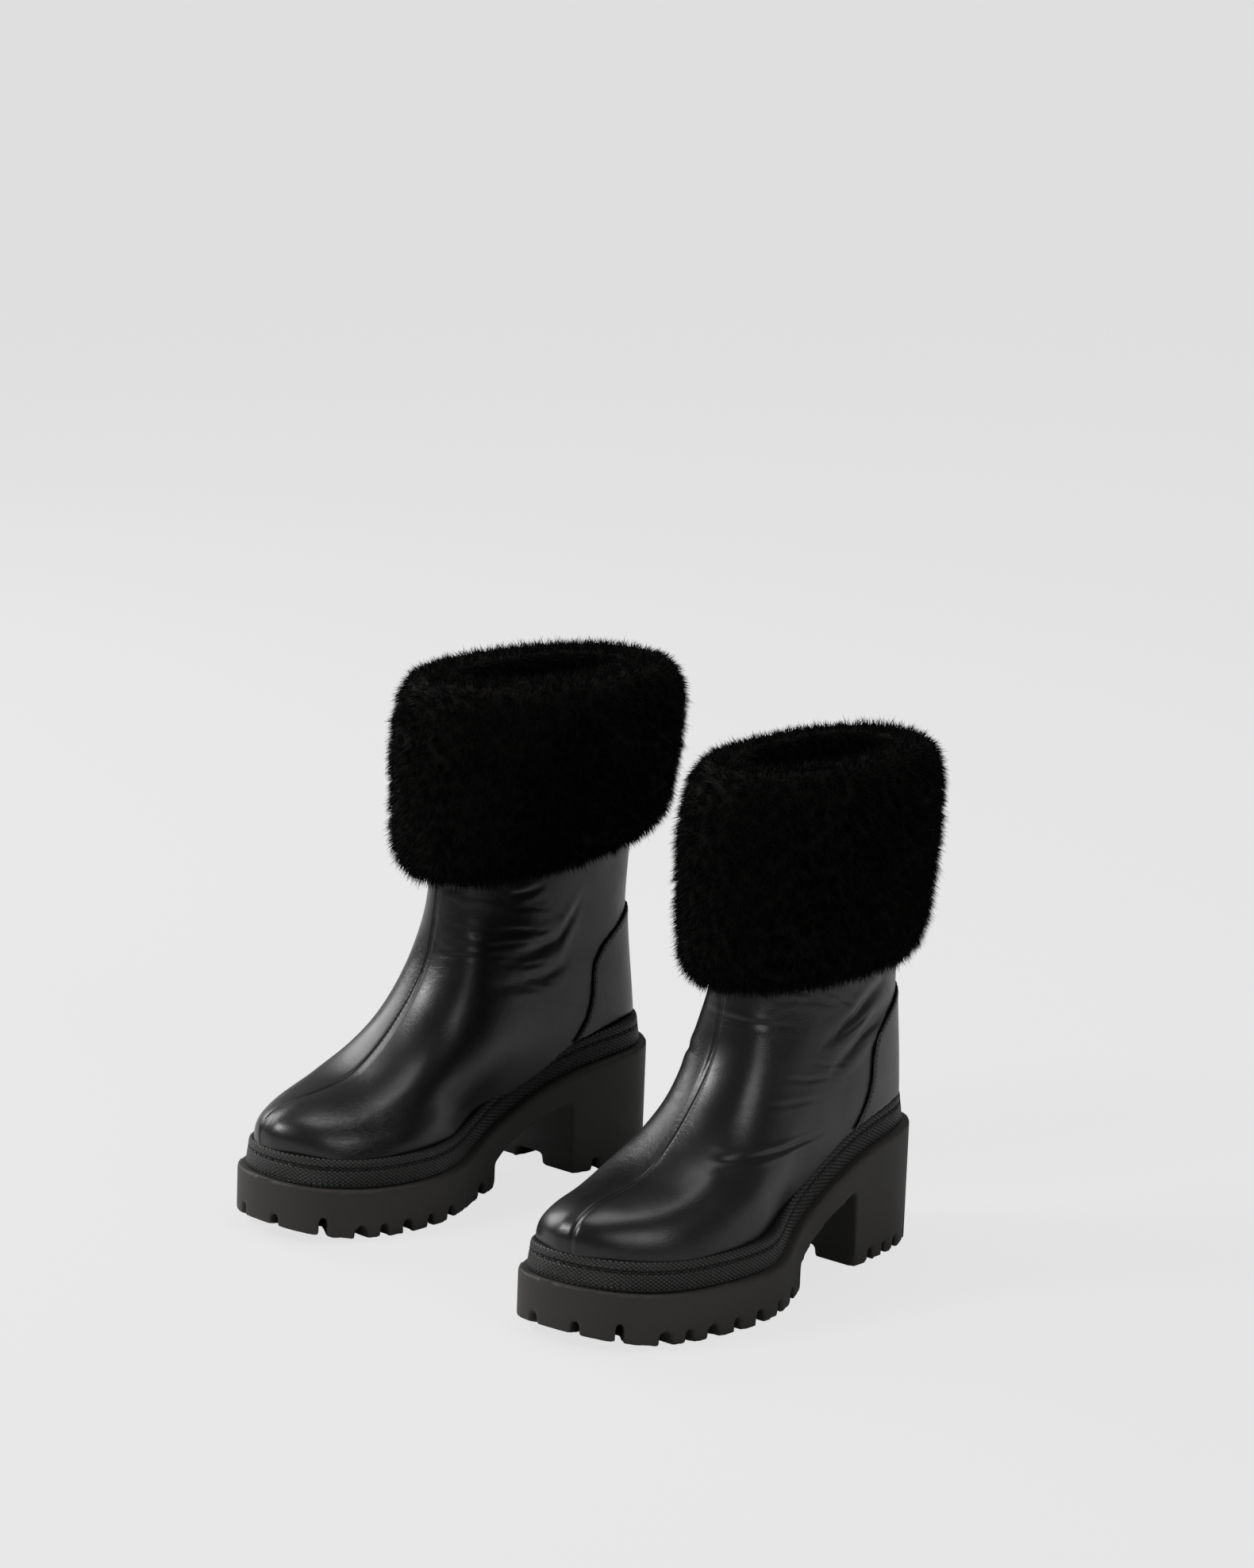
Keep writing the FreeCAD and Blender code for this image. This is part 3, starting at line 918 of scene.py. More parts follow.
def smooth_grid(grid: np.ndarray, rounds: int, mask: Union[np.ndarray, float] = 1.0) -> np.ndarray:
    """Irons out unevenness of a grid closed along its second axis, without shrinking it.

    Args:
        grid: points, shape (rings, columns, 3).
        rounds: how many times to smooth and swell back.
        mask: share of the smoothing at each point.

    Returns:
        The smoothed grid.
    """
    for weight in (0.5, -0.52) * rounds:
        grid = grid + pull(grid) * weight / 2 * mask
    return grid


def grid_normals(grid: np.ndarray) -> np.ndarray:
    """Unit normals of a grid closed along its second axis, outward from its inside."""
    around = np.roll(grid, -1, 1) - np.roll(grid, 1, 1)
    return unit(np.cross(np.gradient(grid, axis=0), around))


def grid_faces(rings: int, columns: int, closed: bool, looped: bool = False) -> np.ndarray:
    """Quads of a grid, pointing outward.

    Args:
        rings: number of rings.
        columns: number of columns.
        closed: whether the last column meets the first.
        looped: whether the last ring meets the first.

    Returns:
        The corners of every quad.
    """
    ring, column = np.mgrid[0:rings if looped else rings - 1, 0:columns if closed else columns - 1]
    above, beside = (ring + 1) % rings, (column + 1) % columns
    corners = ((ring, column), (above, column), (above, beside), (ring, beside))
    return np.stack([(row * columns + place).reshape(-1) for row, place in corners], axis=1)


@dataclass
class Upper:
    """Leather upper: two panels sewn along the middle and the counter overlay.

    The leather is felt along slanting slices, each at level + rise * u. A column
    starts at the rand and ends at the top of the leg.

    Attributes:
        toe_cap: start and width of the extra smoothing's fade along u, -|v| and z.
        outside: where a slice's feeling rays start, in lengths of the slice.
        tuck: how far the leather goes down behind the rand's upper edge.
        reach: how far from the leather a relaxed point may lie.
    """

    rings: int = 190
    columns: int = 240
    slices: int = 80
    rise: float = 0.4
    highest: float = 258.0
    lowest: float = -76.0
    start_highest: float = 150.0
    top_guess: float = 183.0
    heel_back: float = 10.0
    leg_front: float = 142.0
    toe: float = 262.0
    centre_v: float = 1.0
    flatness: float = 0.55
    outside: float = 1.1
    tuck: float = 6.5
    rand_height: float = 14.7
    leg_top: float = 256.0
    thickness: float = 1.3
    axis_u: float = 78.0
    seam_width: float = 1.0
    seam_depth: float = 0.75
    toe_rounds: int = 120
    toe_cap: tuple[tuple[float, float], ...] = ((185.0, 25.0), (-34.0, 12.0), (48.0, 8.0))
    relax_rounds: int = 5
    relax_steps: int = 30
    relax_share: float = 0.45
    even_rounds: int = 6
    normal_rounds: int = 10
    reach: float = 9.0
    unevenness: float = 0.5
    unevenness_scale: float = 0.03
    counter_voxel: float = 1.0
    counter_rounds: int = 3

    def build(self, boot: Boot, frame: dict, seat: Callable, creases: Sequence[Crease]) -> BVHTree:
        """Makes both panels and the counter.

        Args:
            boot: the boot.
            frame: the loaded frame.
            seat: height of the sole's top over u.
            creases: the folds of its leather.

        Returns:
            The finished leather surface in boot points, for the seams.
        """
        tree = BVHTree.FromPolygons(*boot.node_mesh(frame, "lateral_panel", "medial_panel"))
        grid = self._press(self._lay(tree, seat), creases)
        half = self.columns // 2
        for part, start in (("lateral_panel", 0), ("medial_panel", half)):
            columns = [(start + i) % self.columns for i in range(half + 1)]
            self._panel(boot, grid[:, columns], part)
        counter = boot.remeshed_copy(frame, "back_counter", "counter_overlay", self.counter_voxel,
                                     self.counter_rounds, Finish.LEATHER)
        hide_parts(boot.node("back_counter"))
        boot.seat(counter, "upper_leather")
        over, over_faces = boot.node_mesh(frame, "back_counter")
        faces = grid_faces(self.rings, self.columns, True).tolist()
        faces += [tuple(self.rings * self.columns + i for i in face) for face in over_faces]
        return BVHTree.FromPolygons(np.vstack((grid.reshape(-1, 3), over)).tolist(), faces)

    def _lay(self, tree: BVHTree, seat: Callable) -> np.ndarray:
        """Lays a grid on the leather, shape (rings, columns, 3).

        Args:
            tree: the CAD leather in boot points.
            seat: height of the sole's top over u.

        Returns:
            The grid.
        """
        levels = np.linspace(self.lowest, self.highest, self.slices)
        ends = [[self._end(tree, level, aim) for level in levels] for aim in (1.0, -1.0)]
        grid = np.zeros((self.rings, self.columns, 3))
        for column, turn in enumerate(np.linspace(0, 2 * np.pi, self.columns, endpoint=False)):
            way = np.array([-math.cos(turn), math.sin(turn) * self.flatness])

            def feel(level: float) -> Optional[np.ndarray]:
                """Leather point of this column at a level."""
                return self._hit(tree, [np.interp(level, levels, places) for places in ends], way, level)

            levels_up = np.linspace(self._start_level(feel, seat), self._top_level(feel), self.rings)
            for ring, level in enumerate(levels_up):
                point = feel(level)
                grid[ring, column] = grid[ring - 1, column] if point is None else point
        grid = smooth_grid(self._relaxed(self._respaced(grid), tree), self.even_rounds)
        ways = (grid[:, :, 0], -np.abs(grid[:, :, 1]), grid[:, :, 2])
        toe = math.prod(np.clip((way - start) / width, 0, 1)
                        for way, (start, width) in zip(ways, self.toe_cap))
        return smooth_grid(grid, self.toe_rounds, toe[:, :, None])

    def _respaced(self, grid: np.ndarray) -> np.ndarray:
        """Spreads each ring's points evenly between the back and the front seam.

        Args:
            grid: the points.

        Returns:
            The points at even distances.
        """
        half = self.columns // 2
        spread = np.zeros_like(grid)
        for ring, loop in enumerate(grid):
            spread[ring, :half] = evenly(loop[:half + 1])[:-1]
            spread[ring, half:] = evenly(np.vstack((loop[half:], loop[:1])))[:-1]
        return spread

    def _relaxed(self, grid: np.ndarray, tree: BVHTree) -> np.ndarray:
        """Lets the grid slide over the leather until its cells are even.

        Args:
            grid: points on the leather, shape (rings, columns, 3).
            tree: the CAD leather in boot points.

        Returns:
            The grid with even cells, on the leather again.
        """
        half = self.columns // 2
        for _ in range(self.relax_rounds):
            for _ in range(self.relax_steps):
                change = pull(grid)
                change[:, [0, half], 1] = 0.0
                change[[0, -1], :, 2] = 0.0
                grid = grid + change * self.relax_share
            outward = grid_normals(grid)
            for index in np.ndindex(grid.shape[:2]):
                out = Vector(outward[index])
                hit = tree.ray_cast(Vector(grid[index]) + out * self.reach, -out, 2 * self.reach)
                if hit[0] is not None:
                    grid[index] = hit[0]
        return grid

    def _top_level(self, feel: Callable) -> float:
        """Level at which a column reaches the top of the leg.

        Args:
            feel: leather point at a level, in one column.

        Returns:
            The level.
        """
        level, back_step, tries = self.top_guess, -5.0, 6
        for _ in range(tries):
            point = feel(level)
            level += back_step if point is None else self.leg_top - point[2]
        return level

    def _start_level(self, feel: Callable, seat: Callable) -> float:
        """Lowest level of a column, just under the rand's upper edge.

        Args:
            feel: leather point at a level, in one column.
            seat: height of the sole's top over u.

        Returns:
            The level.
        """
        low, high, halvings = self.lowest, self.start_highest, 12
        for _ in range(halvings):
            middle = (low + high) / 2
            point = feel(middle)
            hidden = point is None or point[2] < float(seat(point[:1])[0]) + self.rand_height - self.tuck
            low, high = (middle, high) if hidden else (low, middle)
        return high

    def _end(self, tree: BVHTree, level: float, aim: float) -> float:
        """Where a slice ends along u, at the back with aim 1 or at the front with -1.

        Args:
            tree: the CAD leather in boot points.
            level: the slice's level.
            aim: way of the feeling ray along u.

        Returns:
            The place along u.
        """
        start, beside_seam = (-80.0 if aim > 0 else 340.0), 0.3
        way = Vector((aim, 0.0, aim * self.rise)).normalized()
        found = tree.ray_cast(Vector((start, beside_seam, level + self.rise * start)), way)[0]
        if aim > 0:
            return self.heel_back if found is None or found.x > 2 * self.heel_back else found.x
        return self.toe if found is None else max(found.x, self.leg_front)

    def _hit(self, tree: BVHTree, ends: Sequence[float], way: np.ndarray,
             level: float) -> Optional[np.ndarray]:
        """Where a slice meets the leather in one direction from its middle.

        Args:
            tree: the CAD leather in boot points.
            ends: the slice's ends along u.
            way: the plan direction.
            level: the slice's level.

        Returns:
            The leather point, if there is one.
        """
        back, front = ends
        middle = np.array([(back + front) / 2, self.centre_v])
        outside = middle + way * (front - back) * self.outside
        start, end = (Vector((p[0], p[1], level + self.rise * p[0])) for p in (outside, middle))
        found = tree.ray_cast(start, (end - start).normalized(), (end - start).length)[0]
        return None if found is None else np.array(found)

    def _press(self, grid: np.ndarray, creases: Sequence[Crease]) -> np.ndarray:
        """Presses the seam, the folds and soft unevenness into the grid.

        Args:
            grid: the smooth leather.
            creases: its folds.

        Returns:
            The grid with its relief.
        """
        flat = grid.reshape(-1, 3)
        turns = np.degrees(np.arctan2(flat[:, 1], flat[:, 0] - self.axis_u))
        push = np.array([noise.fractal(Vector(p) * self.unevenness_scale, 1.0, 2.0, 2) for p in flat])
        push = push * self.unevenness - self.seam_depth * np.exp(-(flat[:, 1] / self.seam_width) ** 2)
        push += sum(crease.push(flat, turns) for crease in creases)
        outward = grid_normals(grid)
        for _ in range(self.normal_rounds):
            outward = (outward + np.roll(outward, 1, 1) + np.roll(outward, -1, 1)) / 3
            outward[1:-1] = (outward[:-2] + outward[1:-1] + outward[2:]) / 3
        return grid + unit(outward) * push.reshape(grid.shape[:2])[:, :, None]

    def _panel(self, boot: Boot, grid: np.ndarray, part: str) -> None:
        """One panel as a shell that stands for its CAD node.

        Args:
            boot: the boot.
            grid: the panel's share of the grid.
            part: the node that it stands for.
        """
        faces = grid_faces(*grid.shape[:2], False)
        piece = boot.piece(part + "_skin", grid.reshape(-1, 3), faces, Finish.LEATHER, "upper_leather")
        add_modifier(piece, "SOLIDIFY", thickness=self.thickness * MM, offset=-1.0)
        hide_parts(boot.node(part))


@dataclass
class Stitching:
    """Rows of stitches, each stitch a small stretched capsule."""

    length: float = 3.4
    radius: float = 0.38
    pitch: float = 4.6

    def capsule(self) -> tuple[np.ndarray, np.ndarray]:
        """One stitch along X, made from a round cube that is stretched.

        Returns:
            Its points and faces.
        """
        deselect()
        bpy.ops.mesh.primitive_cube_add(size=2.0)
        ball = bpy.context.object
        add_modifier(ball, "SUBSURF", levels=2, render_levels=2)
        add_modifier(ball, "CAST", factor=1.0, radius=1.0, use_radius_as_size=False)
        coords = vertex_data(ball.data, "co")
        faces = np.array([tuple(polygon.vertices) for polygon in ball.data.polygons])
        bpy.data.objects.remove(ball)
        straight = self.length / 2 - self.radius
        coords = coords * self.radius
        coords[:, 0] += np.sign(np.round(coords[:, 0], 6)) * straight
        return coords, faces

    def row(self, boot: Boot, label: str, path: np.ndarray, normals: np.ndarray) -> None:
        """Sews one row along a path.

        Args:
            boot: the boot.
            label: the row's name.
            path: boot points along the row.
            normals: outward directions at these points.
        """
        travelled = travelled_along(path)
        count = int(travelled[-1] / self.pitch)
        places = (np.arange(count) + 0.5) * travelled[-1] / count
        centre, along, out = (at_places(data, travelled, places)
                              for data in (path, np.gradient(path, axis=0), normals))
        along = unit(along)
        out = unit(out - along * np.sum(out * along, axis=1, keepdims=True))
        shape, faces = self.capsule()
        points = centre[:, None] + shape @ np.stack((along, np.cross(out, along), out), axis=1)
        starts = np.arange(count)[:, None, None] * len(shape)
        all_faces = (starts + faces[None]).reshape(-1, faces.shape[1])
        boot.piece(label, points.reshape(-1, 3), all_faces, Finish.THREAD, "upper_leather")


@dataclass
class Rand:
    """Knurled rubber band round the upper, with a stitched groove and a lip.

    Attributes:
        ledge: how far the band stands in from the sole's edge.
        centre: plan point that the sole's edge is felt from.
        furthest: reach of that feeling along u and v.
        room_limits: least, unknown and most room between the band's edge and the leather.
        profile: offset, height and share of the teeth of each ring, from the sole up.
    """

    samples: int = 1300
    height: float = 14.7
    ledge: float = 4.6
    tooth_pitch: float = 2.9
    tooth_depth: float = 0.8
    tooth_fade: float = 1.5
    centre: tuple[float, float] = (135.0, 3.0)
    furthest: tuple[float, float] = (170.0, 90.0)
    rays: int = 1800
    even_rounds: int = 12
    room_rounds: int = 20
    room_limits: tuple[float, float, float] = (3.2, 4.0, 9.0)
    inner_gap: float = 0.15
    stitch_offset: float = -0.8
    stitch_height: float = 10.0
    profile: tuple[tuple[float, float, float], ...] = (
        (-1.0, 0.05, 0.0), (0.35, 0.15, 0.8), (0.6, 0.7, 1.0), (0.5, 2.2, 1.0), (0.25, 4.2, 1.0),
        (0.0, 6.2, 0.6), (-0.3, 8.2, 0.0), (-0.6, 9.1, 0.0), (-1.15, 9.4, 0.0), (-1.3, 10.0, 0.0),
        (-1.2, 10.7, 0.0), (-0.75, 11.0, 0.0), (-0.7, 11.8, 0.0), (-0.9, 13.0, 0.0), (-1.2, 14.1, 0.0),
        (-1.7, 14.6, 0.0), (-2.6, 14.7, 0.0),
    )

    def outline(self, boot: Boot, frame: dict, seat: Callable) -> tuple[np.ndarray, np.ndarray, np.ndarray]:
        """Samples the band's outer edge evenly, a ledge inside the sole's outline.

        Args:
            boot: the boot.
            frame: the loaded frame.
            seat: height of the sole's top over u.

        Returns:
            Plan points, outward plan normals and the room to the leather.
        """
        sole = BVHTree.FromPolygons(*boot.node_mesh(frame, "sole_unit"))
        leather = BVHTree.FromPolygons(*boot.node_mesh(frame, "lateral_panel", "medial_panel"))
        turns = np.linspace(0, 2 * np.pi, self.rays, endpoint=False)
        points, normals = self._even(np.array([self._edge(sole, turn) for turn in turns]))
        points, normals = self._even(points - normals * self.ledge)
        least, unknown, most = self.room_limits
        outside, under_edge, room = 20.0, 0.8, []
        for point, out, base in zip(points, normals, seat(points[:, 0])):
            start = Vector((*(point + out * outside), base + self.height - under_edge))
            distance = leather.ray_cast(start, Vector((*-out, 0)))[3]
            room.append(unknown if distance is None else min(max(distance - outside, least), most))
        return points, normals, blurred(np.array(room), self.room_rounds)

    def _even(self, raw: np.ndarray) -> tuple[np.ndarray, np.ndarray]:
        """Spaces a loop's points evenly and gives their outward normals.

        Args:
            raw: plan points of the loop.

        Returns:
            Plan points and plan normals.
        """
        loop = np.vstack((raw, raw[:1]))
        travelled = travelled_along(loop)
        even = at_places(loop, travelled, np.linspace(0, travelled[-1], self.samples, endpoint=False))
        points = blurred(even, self.even_rounds)
        along = np.roll(points, -1, 0) - np.roll(points, 1, 0)
        normals = unit(np.column_stack((-along[:, 1], along[:, 0])))
        return points, normals * np.sign(np.mean(np.sum(normals * (points - points.mean(axis=0)), axis=1)))

    def _edge(self, sole: BVHTree, turn: float) -> np.ndarray:
        """Outer point of the sole in one plan direction, found by halving.

        Args:
            sole: the sole in boot points.
            turn: the direction, in radians.

        Returns:
            The plan point.
        """
        way = np.array([-math.cos(turn), math.sin(turn)]) * self.furthest
        inside, outside, above, halvings = 0.15, 1.0, 300.0, 14
        for _ in range(halvings):
            middle = (inside + outside) / 2
            start = Vector((*(way * middle + self.centre), above))
            missed = sole.ray_cast(start, Vector((0, 0, -1)))[0] is None
            inside, outside = (inside, middle) if missed else (middle, outside)
        return way * inside + self.centre

    def build(self, boot: Boot, frame: dict, seat: Callable, stitching: Stitching) -> None:
        """Makes the band and sews its groove.

        Args:
            boot: the boot.
            frame: the loaded frame.
            seat: height of the sole's top over u.
            stitching: the kind of stitches.
        """
        plan, out, room = self.outline(boot, frame, seat)
        base = seat(plan[:, 0])
        step = np.linalg.norm(plan - np.roll(plan, 1, 0), axis=1).mean()
        along = np.arange(self.samples) * step
        teeth = np.abs((along / self.tooth_pitch) % 1.0 - 0.5) * 2
        rings = [(offset - teeth * self.tooth_depth * tooth
                  * math.exp(-max(height - 1.0, 0.0) / self.tooth_fade), height)
                 for offset, height, tooth in self.profile]
        rings += [(self.inner_gap - room, height) for height in (self.height - 0.1, 0.05)]
        points = np.vstack([self._ring(plan, out, offset, base + height) for offset, height in rings])
        faces = grid_faces(len(rings), self.samples, True, True)
        piece = boot.piece("rand", points, faces, Finish.RAND, "rand_rubber")
        heights = np.array([height for _, height in rings])
        ring, column = np.divmod(np.arange(len(faces)), self.samples)
        low, high, start = heights[ring], heights[(ring + 1) % len(rings)], along[column]
        corners = np.stack(((start, low), (start, high), (start + step, high), (start + step, low)))
        corners = corners.transpose(2, 0, 1)[:, ::boot.side]
        piece.data.uv_layers.new(name="UVMap").data.foreach_set("uv", corners.astype(np.float32).reshape(-1))
        self._point_outward(piece)
        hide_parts(boot.node("rand_band"))
        groove = self._ring(plan, out, self.stitch_offset, base + self.stitch_height)
        outward = np.column_stack((out, np.zeros(self.samples)))
        stitching.row(boot, "rand_stitches", *(np.vstack((loop, loop[:1])) for loop in (groove, outward)))

    @staticmethod
    def _ring(plan: np.ndarray, out: np.ndarray, offset: Union[np.ndarray, float],
              height: np.ndarray) -> np.ndarray:
        """Ring of boot points at an offset from the plan outline."""
        return np.column_stack((plan + out * np.reshape(offset, (-1, 1)), height))

    @staticmethod
    def _point_outward(piece: bpy.types.Object) -> None:
        """Recalculates the normals of a closed piece.

        Args:
            piece: the piece.
        """
        pick(piece)
        bpy.ops.object.mode_set(mode="EDIT")
        bpy.ops.mesh.select_all(action="SELECT")
        bpy.ops.mesh.normals_make_consistent(inside=False)
        bpy.ops.object.mode_set(mode="OBJECT")


@dataclass
class FurCuff:
    """Turned-down cuff: a soft core under many thousands of tapered blades of fur.

    Attributes:
        pile: length of a blade, of which sink lies under the core's surface.
        clump_pull: least and most share of the way from a blade to its clump's middle.
        tufts: size and strength of each scale of uneven length.
        comb: how much the blades lean down.
        free_room: fur grows only where nothing of the shaft lies this near.
    """

    blades: int = 56000
    layers: int = 2
    seed: int = 31
    side_seed: int = 7
    pile: float = 9.0
    sink: float = 4.5
    width: float = 0.42
    width_spread: tuple[float, float] = (0.7, 1.3)
    length_spread: tuple[float, float] = (0.72, 1.12)
    per_clump: int = 30
    clump_pull: tuple[float, float] = (0.3, 0.9)
    tufts: tuple[tuple[float, float], ...] = ((6.0, 0.14), (24.0, 0.12))
    comb: float = 0.5
    scatter: float = 0.17
    bend: float = 0.1
    droop: float = 0.16
    core_inset: float = 0.3
    voxel: float = 2.4
    core_rounds: int = 3
    free_room: float = 5.0

    def build(self, boot: Boot, frame: dict) -> None:
        """Makes the core and the blades.

        Args:
            boot: the boot.
            frame: the loaded frame.
        """
        core = boot.remeshed_copy(frame, "fur_cuff", "cuff_core", self.voxel, self.core_rounds, Finish.FUR)
        places, normals = self._free_surface(boot, frame, core)
        add_modifier(core, "DISPLACE", strength=-self.core_inset * MM, mid_level=0.0)
        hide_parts(boot.node("fur_cuff"))
        boot.seat(core, "fur")
        for layer in range(self.layers):
            chance = np.random.default_rng(self.seed + layer + self.side_seed * boot.side)
            self._layer(boot, layer, places, normals, chance)

    def _free_surface(self, boot: Boot, frame: dict,
                      core: bpy.types.Object) -> tuple[np.ndarray, np.ndarray]:
        """Triangles of the cuff that don't lie against the shaft.

        Args:
            boot: the boot.
            frame: the loaded frame.
            core: the cuff's soft body.

        Returns:
            Corner points of the triangles in millimetres, and corner normals.
        """
        mesh = core.data
        mesh.calc_loop_triangles()
        corners = np.empty(len(mesh.loop_triangles) * 3, dtype=np.int64)
        mesh.loop_triangles.foreach_get("vertices", corners)
        coords = vertex_data(mesh, "co")[corners.reshape(-1, 3)]
        normals = vertex_data(mesh, "normal")[corners.reshape(-1, 3)]
        covered = BVHTree.FromPolygons(*boot.node_mesh(frame, "cuff_skin", "shaft_lining"))
        middles = boot.to_boot(coords.mean(axis=1))
        ways = boot.to_boot(coords.mean(axis=1) + normals.mean(axis=1) * MM) - middles
        hits = [covered.ray_cast(Vector(p), Vector(w), self.free_room)[0] for p, w in zip(middles, ways)]
        free = np.array([hit is None for hit in hits])
        return coords[free] / MM, normals[free]

    def _layer(self, boot: Boot, layer: int, places: np.ndarray, normals: np.ndarray,
               chance: np.random.Generator) -> None:
        """Grows one piece of blades.

        Args:
            boot: the boot.
            layer: its number.
            places: corner points of the triangles to grow on.
            normals: normals at the corners.
            chance: the source of chance.
        """
        area = np.linalg.norm(np.cross(places[:, 1] - places[:, 0], places[:, 2] - places[:, 0]), axis=1)
        chosen = chance.choice(len(places), self.blades, p=area / area.sum())
        weights = chance.dirichlet((1, 1, 1), self.blades)
        place = np.einsum("ij,ijk->ik", weights, places[chosen])
        out = unit(np.einsum("ij,ijk->ik", weights, normals[chosen]))
        down = np.array([0.0, 0.0, -1.0]) + out * out[:, 2:3]
        way = out + down * self.comb + chance.normal(0, self.scatter, (self.blades, 3))
        way = unit(way + self._toward_clumps(place, chance) / self.pile)
        length = self.pile * chance.uniform(*self.length_spread, self.blades) * self._tufting(place)
        self._blades(boot, layer, place - out * self.sink, way, length, chance)

    def _toward_clumps(self, place: np.ndarray, chance: np.random.Generator) -> np.ndarray:
        """Pull of each blade's tip toward the middle of its clump, in millimetres.

        Args:
            place: where the blades grow.
            chance: the source of chance.

        Returns:
            One way per blade.
        """
        centres = place[chance.choice(len(place), len(place) // self.per_clump, replace=False)]
        tree = KDTree(len(centres))
        for number, centre in enumerate(centres):
            tree.insert(centre, number)
        tree.balance()
        nearest = np.array([tree.find(p)[1] for p in place])
        strength = chance.uniform(*self.clump_pull, len(centres))[nearest]
        return (centres[nearest] - place) * strength[:, None]

    def _tufting(self, place: np.ndarray) -> np.ndarray:
        """Length factor that makes the pile uneven."""
        return sum((strength * np.array([noise.noise(Vector(p) / size) for p in place])
                    for size, strength in self.tufts), start=1.0)

    def _blades(self, boot: Boot, layer: int, root: np.ndarray, way: np.ndarray, length: np.ndarray,
                chance: np.random.Generator) -> None:
        """Makes one object of bent blades that taper to a point.

        Args:
            boot: the boot.
            layer: its number.
            root: where the blades start.
            way: their directions.
            length: their lengths.
            chance: the source of chance.
        """
        count = len(root)
        middle_place, middle_bend, middle_width = 0.6, 0.3, 0.8
        side = unit(np.cross(way, chance.normal(0, 1, (count, 3))))
        bend = chance.normal(0, self.bend, (count, 3)) - np.array([0, 0, self.droop])
        edge = side * (self.width / 2 * chance.uniform(*self.width_spread, (count, 1)))
        middle = root + way * (length * middle_place)[:, None] + bend * (length * middle_bend)[:, None]
        tip = root + (way + bend) * length[:, None]
        rows = (root - edge, root + edge, middle - edge * middle_width, middle + edge * middle_width, tip)
        points = np.stack(rows, axis=1).reshape(-1, 3)
        start = np.arange(count)[:, None] * len(rows)
        quads, tips = start + np.array([0, 1, 3, 2]), start + np.array([2, 3, 4])
        boot.seat(show(mesh_of(boot.node(f"fur_{layer}"), points * MM, quads, tips), Finish.FUR), "fur")


@dataclass
class Sole:
    """Rubber unit sole with softened moulded edges."""

    voxel: float = 1.25
    smoothing: int = 4

    def build(self, boot: Boot, frame: dict) -> None:
        """Makes the sole that stands for its CAD node.

        Args:
            boot: the boot.
            frame: the loaded frame.
        """
        piece = boot.remeshed_copy(frame, "sole_unit", "moulded_sole", self.voxel, self.smoothing,
                                   Finish.SOLE)
        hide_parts(boot.node("sole_unit"))
        boot.seat(piece, "sole_rubber")


